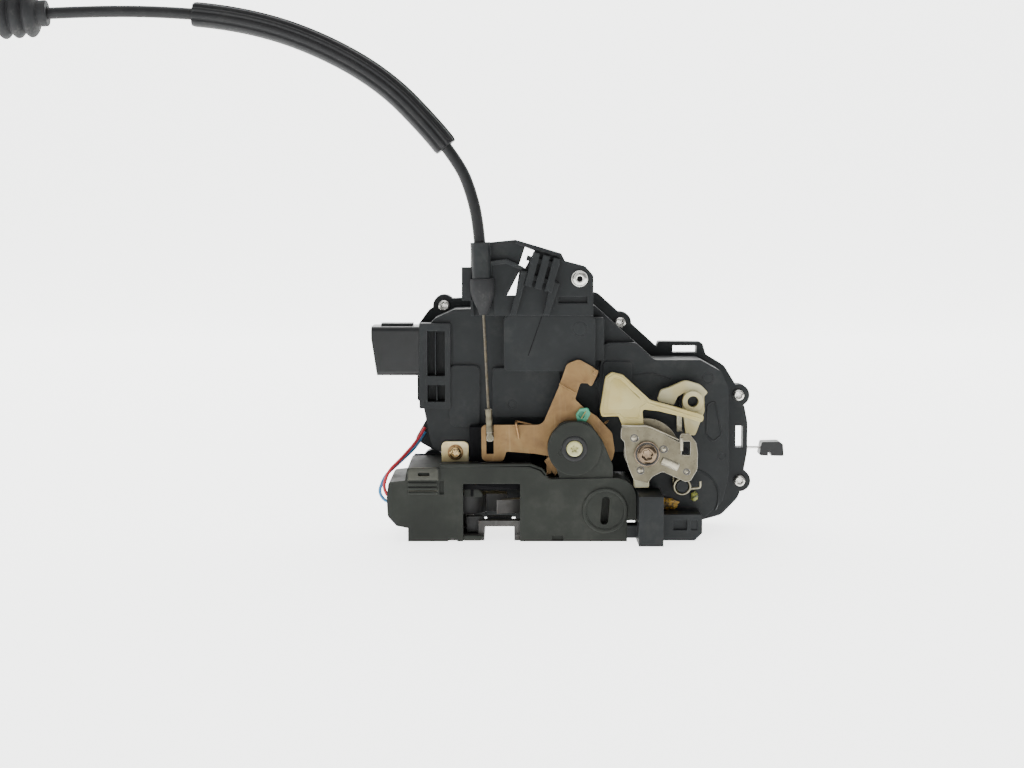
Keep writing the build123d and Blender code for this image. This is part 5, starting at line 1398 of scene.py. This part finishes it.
# ------------------------------------------------------------------ the release lever
@dataclass
class ReleaseLever:
    """Plated lever, its pivot pin, its spring and the green tip. Sizes in millimetres."""

    pivot: tuple[float, float] = (31.5, 40.5)
    wire: float = 0.55

    def pin(self) -> bpy.types.Object:
        """Pivot pin whose face has a shallow star recess inside a raised rim.

        Returns:
            The finished object.
        """
        rows = [(0.05, 1.3, 0.0), (0.6, 1.2, 0.1), (1.15, 1.0, 0.22), (1.35, 0.25, 0.24), (1.7, 0.1, 0.15),
                (2.5, 0.0, 0.03), (3.1, 0.05, 0.0), (3.42, 0.35, 0.0), (3.5, 0.8, 0.0), (3.5, 17.6, 0.0),
                (3.2, 18.0, 0.0)]
        axes = Axes.facing_viewer(self.pivot[0], -0.4, self.pivot[1], 20)
        return Shell().add(axes.place(star_rings(rows, 5, 60))).build("pivot_pin", 40.0)

    def spring(self) -> bpy.types.Object:
        """Torsion spring: a leg over the lever's arm, the coil behind the lever, and the other leg.

        Returns:
            The finished object.
        """
        x, z = self.pivot
        coil = coil_path(5.3, 1.0, 1.0, 95, 40)
        ring = np.stack([x + coil[:, 0], 10.9 + coil[:, 2], z + coil[:, 1]], -1)
        first = bent([(7.6, 5.9, 44.3), (6.2, 5.9, 51.0), (6.2, 10.9, 51.2), (26.0, 10.9, 46.4)], 0.8)
        last = bent([(33.0, 11.9, 46.2), (38.0, 11.9, 46.4), (43.2, 10.4, 49.2), (46.4, 8.4, 51.6)], 1.2)
        shell = Shell()
        for path, up in ((first, (0.3, 0.2, 1.0)), (ring, (0, 1, 0)), (last, (0, 1, 0))):
            shell.add(pipe(in_frame(path), self.wire * MM, up, 10))
        return shell.build("lever_spring_piece", 60.0, merge=False)

    def build(self) -> None:
        """Makes every piece of the release lever."""
        FINISHER.settle(self.pin(), "lever_pivot_pin", Accent.pin_cream, replaces=True)
        FINISHER.settle(self.spring(), "lever_spring", Accent.bronze_wire, replaces=True)
        Wire("hook_crease", "release_lever", Slot.chromate_steel, [(25.0, 6.42, 68.2), (32.2, 6.42, 64.2)],
             0.28).build()
        # painted highlight: a cream bead that stands for the light line along the green tip
        Wire("green_tip_highlight_bead", "green_tip", Slot.cream_plastic, [(34.6, 6.25, 52.9), (36.6, 6.25, 56.2)],
             0.22).build()


# ------------------------------------------------------------------ the outer handle levers
@dataclass
class OuterHandle:
    """Zinc plate, pale levers, shoulder screw, spring and grease. Sizes in millimetres."""

    pivot: tuple[float, float] = (62.7, 38.4)
    zinc_front: float = -0.4
    cream_front: float = 2.1
    domes: list[tuple[float, float, float]] = field(default_factory=lambda: [
        (57.2, 45.2, 1.2), (69.8, 40.4, 1.2), (60.0, 31.2, 1.2), (79.8, 30.6, 0.9)])
    bar: tuple[float, float, float, float] = (72.7, 34.1, 8.0, 3.1)
    bar_turn: float = -24.0
    spring_place: tuple[float, float] = (79.0, 22.6)
    wire: float = 0.55
    lumps: list[tuple[str, Point, Point, float, Accent]] = field(default_factory=lambda: [
        ("amber_grease_lump", (73.2, 14.6, 14.0), (4.7, 1.2, 2.5), 0.6, Accent.amber_grease),
        ("amber_grease_smear", (71.2, 14.9, 15.4), (2.0, 0.9, 1.6), 2.1, Accent.amber_grease),
        ("green_grease_smear", (85.0, 15.0, 17.4), (1.6, 0.8, 2.2), 4.0, Accent.green_grease),
        ("spring_grease", (78.6, 12.8, 22.0), (2.6, 1.2, 2.4), 5.2, Accent.green_grease)])

    def plate_marks(self) -> bpy.types.Object:
        """Domes and the embossed bar of the zinc plate.

        A dome's profile is a quarter cosine; the bar is a rounded outline that steps in towards its top.

        Returns:
            The finished object.
        """
        shell = Shell()
        for x, z, radius in self.domes:
            share = np.linspace(0, 1, 6)
            profile = list(zip((radius * share).tolist(), (-0.55 * np.cos(share * math.pi / 2)).tolist()))
            profile = [(0.03, -0.55)] + profile[1:] + [(radius, 0.4)]
            shell.add(Axes.facing_viewer(x, self.zinc_front, z).place(revolved(profile, 32)))
        x, z, width, height = self.bar
        outline = rounded(box_corners(-width / 2, -height / 2, width / 2, height / 2), 0.7)
        angle = math.radians(self.bar_turn)
        spin = np.array(((math.cos(angle), math.sin(angle)), (-math.sin(angle), math.cos(angle))))
        outline = outline @ spin + np.array((x, z))
        front = self.zinc_front
        shell.add(layers(outline, [(0.0, front + 0.3), (0.0, front - 0.2), (0.25, front - 0.6),
                                   (0.5, front - 0.7)]))
        return shell.build("zinc_plate_marks", 45.0)

    def plate_details(self) -> list[Plate | Wire | Ring]:
        """Fold line and blade end on the zinc plate as painted highlights, and its slot, rings round its
        domes and the screw's rim as painted shade.

        Returns:
            Pieces that are still to be built.
        """
        front = self.zinc_front
        rings = [Ring(f"dome_ring_{number}", "zinc_lever_plate", Accent.dark_steel, (x, front + 0.02, z),
                      radius, radius + 0.55, 0.08) for number, (x, z, radius) in enumerate(self.domes, 1)]
        x, z = self.pivot
        return rings + [
            Wire("plate_fold", "zinc_lever_plate", Accent.bright_zinc,
                 [(x, front + 0.05, z) for x, z in ((51.8, 50.6), (63.4, 50.4), (76.6, 44.4))], 0.3, 2.5),
            Plate("plate_slot", "zinc_lever_plate", Accent.recess_black,
                  [(78.2, 38.9), (79.8, 38.4), (81.2, 39.9), (79.6, 41.3), (78.0, 40.6)], front - 0.06,
                  front + 0.2, 0.4, 0.03),
            Plate("blade_end", "zinc_lever_plate", Accent.bright_zinc, box_corners(77.0, 39.6, 78.3, 45.4),
                  front - 0.5, front + 0.2, 0.4),
            Ring("screw_rim", "shoulder_screw", Accent.dark_steel, (x, -1.95, z), 4.25, 5.1, 0.3)]

    def paddle_rim(self) -> bpy.types.Object:
        """Raised rim round the paddle of the outer handle lever, a half-sunk round bead.

        Returns:
            The finished object.
        """
        outline = rounded([(45.6, 70.6), (48.2, 72.5), (52.0, 71.4), (60.9, 63.0), (63.0, 60.4), (59.6, 57.9),
                           (59.4, 53.6), (52.6, 53.6), (51.0, 55.3), (44.0, 55.1), (43.6, 57.4)],
                          [1.2, 1.2, 1.2, 1.2, 0.8, 0.8, 1.2, 0.8, 0.8, 0.8, 1.0])
        path = np.stack([outline[:, 0], np.full(len(outline), self.cream_front + 0.1), outline[:, 1]], -1)
        loop = np.concatenate([path, path[:1]])
        return Shell().add(pipe(in_frame(loop), 0.30 * MM, (0, 1, 0), 10)[:-1],
                           closed_along=True).build("paddle_rim", 60.0)

    def arm_rib(self) -> bpy.types.Object:
        """Rib along the top of the lever's arm: a half-sunk bead that tapers to its ends.

        Returns:
            The finished object.
        """
        path = bent([(61.5, 2.3, 60.6), (66.5, 2.3, 58.9), (75.0, 2.3, 56.6), (86.6, 2.3, 53.2)], 2.0)
        taper = 0.55 * np.sin(np.linspace(0.25, math.pi - 0.25, len(path))) ** 0.4
        return Shell().add(pipe(in_frame(path), taper * MM, (0, 1, 0), 12)).build("arm_rib", 60.0)

    def foot(self) -> bpy.types.Object:
        """Greyed end of the lever's foot, a rounded block that steps in at its front.

        Returns:
            The finished object.
        """
        outline = rounded(box_corners(57.3, 23.1, 64.0, 26.6), [0.9, 0.9, 0.3, 0.3])
        front, back = self.cream_front - 0.08, self.cream_front + 3.68
        return Shell().add(layers(outline, [(0.3, front), (0.08, front + 0.15), (0.0, front + 0.4),
                                            (0.0, back)])).build("lever_foot", 42.0)

    def return_spring(self) -> bpy.types.Object:
        """Torsion spring below the levers: four turns towards the rear, with two legs.

        Returns:
            The finished object.
        """
        x, z = self.spring_place
        coil = coil_path(3.5, 3.6, 4.0, -20, 40)
        ring = np.stack([x + coil[:, 0], 9.0 + coil[:, 2], z + coil[:, 1]], -1)
        front = bent([(82.0, 9.0, 21.6), (86.8, 9.0, 22.2), (86.8, 9.0, 24.9)], 0.8)
        rear = [(75.5, 12.6, 22.6), (75.5, 12.6, 27.8)]
        shell = Shell()
        for path in (ring, front, rear):
            shell.add(pipe(in_frame(path), self.wire * MM, (0, 1, 0), 10))
        return shell.build("return_spring_piece", 60.0, merge=False)

    def grease(self, name: str, place: Point, size: Point, seed: float, finish: Accent) -> None:
        """Lump of grease: a ball whose radius waves with both angles, squashed onto the wall behind.

        Radius = 1 + 0.18 sin(3 a + seed) sin(2 b) + 0.12 sin(7 a - seed) sin(5 b + seed), with a the angle
        round the lump and b the angle from its axis.

        Args:
            name: the piece's name.
            place: x, depth and z of its middle, in millimetres.
            size: its half sizes along x, depth and z.
            seed: angle in radians that shifts the waves.
            finish: its finish.
        """
        polar = np.linspace(0.02, math.pi - 0.02, 26)[:, None]
        around = np.linspace(0, TURN, 44, endpoint=False)[None]
        radius = 1 + 0.18 * np.sin(3 * around + seed) * np.sin(2 * polar) \
            + 0.12 * np.sin(7 * around - seed) * np.sin(5 * polar + seed)
        ball = np.stack([radius * np.sin(polar) * np.cos(around), radius * np.cos(polar),
                         radius * np.sin(polar) * np.sin(around)], -1) * np.array(size)
        lump = Shell().add(in_frame(ball + np.array(place))).build(name, 80.0)
        FINISHER.settle(lump, "front_housing", finish)

    def build(self) -> None:
        """Makes every piece of the outer handle group."""
        # painted highlight: the domes and embossed bar are given lighter zinc than the plate
        FINISHER.settle(self.plate_marks(), "zinc_lever_plate", Accent.bright_zinc)
        for piece in self.plate_details():
            piece.build()
        FINISHER.settle(self.paddle_rim(), "outer_handle_lever")
        FINISHER.settle(self.arm_rib(), "outer_handle_lever")
        FINISHER.settle(self.foot(), "outer_handle_lever", Accent.grey_tab)
        # painted shade: the backing disc takes the darker die-cast zinc finish for the shade it lies in
        # behind the zinc plate
        finished_node("lever_backing_disc", Slot.zinc_alloy)
        Plate("paddle_face", "outer_handle_lever", Slot.cream_plastic,
              [(45.5, 57.4), (56.4, 57.4), (60.4, 61.4), (51.4, 70.2), (48.6, 71.0), (47.0, 69.4)],
              self.cream_front - 0.1, self.cream_front + 0.4, 0.8).build()
        finished_node("hook_lever", Accent.hook_cream)
        FINISHER.settle(self.return_spring(), "outer_lever_spring", replaces=True)
        x, z = self.pivot
        DriverScrew("shoulder_screw_piece", "shoulder_screw", (x, -0.7, z), Accent.screw_bronze, head=4.1,
                    height=2.0, recess=2.1, washer=5.5, washer_thickness=1.2, shank=2.4, length=17.0,
                    lobes=0.12).build(True)
        for lump in self.lumps:
            self.grease(*lump)


# ------------------------------------------------------------------ the housing
@dataclass
class Housing:
    """Two-part housing: its screws, ribs, marks and raised lines. Sizes in millimetres."""

    front: float = 20.0
    bulge_front: float = 16.0
    box_front: float = 11.0
    rim_front: float = 41.0
    screws: list[tuple[float, float]] = field(default_factory=lambda: [
        (-26.2, 100.2), (53.4, 92.5), (107.3, 59.6), (108.2, 20.4), (-31.2, 29.6)])

    def lines(self) -> list[Wire]:
        """Half-sunk lines and beads on the housing's front.

        Returns:
            Pieces that are still to be built.
        """
        angle = np.linspace(-0.5, 1.9, 14)
        arc = [(83.6 + 12.2 * math.cos(a), 17.0 + 12.2 * math.sin(a)) for a in angle.tolist()]
        drop = [(90.4, 58.0), (93.6, 59.6), (96.8, 44.6), (93.2, 41.6), (90.0, 44.6)]
        black, bulge = Accent.housing_black, self.bulge_front
        # the parting line is drawn in painted-shade black, for the shade in its groove
        rows = [("parting_line", Accent.recess_black, [(17.4, 97.0), (11.6, 80.0)],
                 self.box_front + 0.02, 0.16, 0.0),
                ("teardrop_bead", black, drop, bulge + 0.15, 0.42, 1.3),
                ("boss_arc", black, arc, bulge + 0.15, 0.5, 0.6),
                ("recess_arc", black, [(58.4, 71.2), (66.0, 72.2), (74.6, 69.0)], bulge + 0.1, 0.35, 3.0)]
        return [Wire(name, "front_housing", finish, [(x, depth, z) for x, z in points], radius, reach, 10,
                     closed=points is drop) for name, finish, points, depth, radius, reach in rows]

    def ribs(self) -> bpy.types.Object:
        """Upright ribs behind the windows at the left, each a thin plate with a rounded front.

        Returns:
            The finished object.
        """
        shell = Shell()
        for x, low, high in ((-29.2, 70.6, 90.0), (-28.6, 59.2, 66.2)):
            outline = rounded(box_corners(x - 0.35, low, x + 0.35, high), 0.2, 3)
            shell.add(layers(outline, [(0.15, 18.6), (0.0, 18.9), (0.0, 24.5)]))
        return shell.build("window_ribs", 42.0)

    def mould_marks(self) -> bpy.types.Object:
        """Round marks that the mould's pins leave: thin rings.

        Returns:
            The finished object.
        """
        rings = [(34.0, self.box_front, 91.5, 3.0), (90.6, self.bulge_front, 69.6, 2.3),
                 (4.5, self.front - 2.4, 58.0, 1.8), (97.0, self.bulge_front, 35.0, 1.6)]
        return ridge_rings(rings, 0.2, 0.1, 0.05).build("mould_marks", 42.0)

    def build(self) -> None:
        """Makes every piece of the housing."""
        finished_node("front_housing", Accent.housing_black)
        finished_node("rear_cover", Accent.housing_black)
        finished_node("rod_clip", Accent.satin_black)
        FINISHER.settle(self.ribs(), "front_housing", Accent.housing_black)
        FINISHER.settle(self.mould_marks(), "front_housing", Accent.housing_black)
        for number, (x, z) in enumerate(self.screws, 1):
            DriverScrew(f"cover_screw_{number}", "cover_screws", (x, self.rim_front, z), Accent.screw_silver,
                        turn=15.0 + 23.0 * number).build(number == 1)
        for line in self.lines():
            line.build()


# ------------------------------------------------------------------ studio
@dataclass
class Studio:
    """Camera, paper and soft lights. Sizes in metres."""

    eye: Point = (0.0045, -0.7665, 0.1405)
    target: Point = (0.0045, -0.020, 0.0686)
    lens: float = 61.3
    floor: float = -0.0002
    air: Colour = (0.97, 0.985, 1.0)
    air_strength: float = 0.36
    lamps: list[tuple[str, Point, Point, float, float]] = field(default_factory=lambda: [
        ("overhead", (0.0, -0.15, 1.5), (0.02, 0.0, 0.05), 1.6, 13),
        ("front_left", (-0.9, -1.3, 0.9), (0.02, 0.0, 0.08), 1.0, 6),
        ("back_wash", (0.0, 0.9, 1.6), (0.0, 1.6, 0.3), 1.8, 9)])

    def camera(self) -> None:
        """Places the camera."""
        data = bpy.data.cameras.new("studio_camera")
        data.lens = self.lens
        data.sensor_width = 36.0
        camera = bpy.data.objects.new("studio_camera", data)
        camera.location = self.eye
        heading = Vector(self.target) - Vector(self.eye)
        camera.rotation_euler = heading.to_track_quat("-Z", "Y").to_euler()
        bpy.context.scene.collection.objects.link(camera)
        bpy.context.scene.camera = camera

    def paper(self) -> None:
        """Seamless paper: flat in front, a quarter turn behind, then upright."""
        turn = np.linspace(0, math.pi / 2, 24)
        run = np.concatenate([[-3.0], 1.2 + 0.8 * np.sin(turn), [2.0]])
        rise = np.concatenate([[0.0], 0.8 - 0.8 * np.cos(turn), [4.0]]) + self.floor
        grid = np.stack([np.stack([np.full_like(run, x), run, rise], -1) for x in (-4.0, 4.0)], 1)
        piece = Shell().add(grid, closed_round=False, caps=(False, False)).build("paper", 60.0)
        piece.data.materials.append(StudioPaper().make())

    def light(self, name: str, place: Point, aim: Point, size: float, power: float) -> None:
        """Square soft light that points at a place.

        Args:
            name: the lamp's name.
            place: where it stands.
            aim: where it points.
            size: its side.
            power: in watts.
        """
        data = bpy.data.lights.new(name, "AREA")
        data.size = size
        data.energy = power
        lamp = bpy.data.objects.new(name, data)
        lamp.location = place
        lamp.rotation_euler = (Vector(aim) - Vector(place)).to_track_quat("-Z", "Y").to_euler()
        bpy.context.scene.collection.objects.link(lamp)

    def build(self) -> None:
        """Makes the studio."""
        self.camera()
        self.paper()
        world = bpy.data.worlds.new("studio_air")
        world.use_nodes = True
        background = world.node_tree.nodes["Background"]
        background.inputs["Color"].default_value = (*self.air, 1)
        background.inputs["Strength"].default_value = self.air_strength
        bpy.context.scene.world = world
        for lamp in self.lamps:
            self.light(*lamp)


def main() -> None:
    """Builds the scene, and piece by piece."""
    logging.basicConfig(level=logging.INFO, format="%(name)s %(message)s")
    FINISHER.nodes()
    Studio().build()
    PullCable().build()
    for assembly in (CableBracket(), LatchUnit(), ReleaseLever(), OuterHandle(), Housing()):
        assembly.build()
        LOG.info("%s done", type(assembly).__name__)


if __name__ == "__main__":
    main()
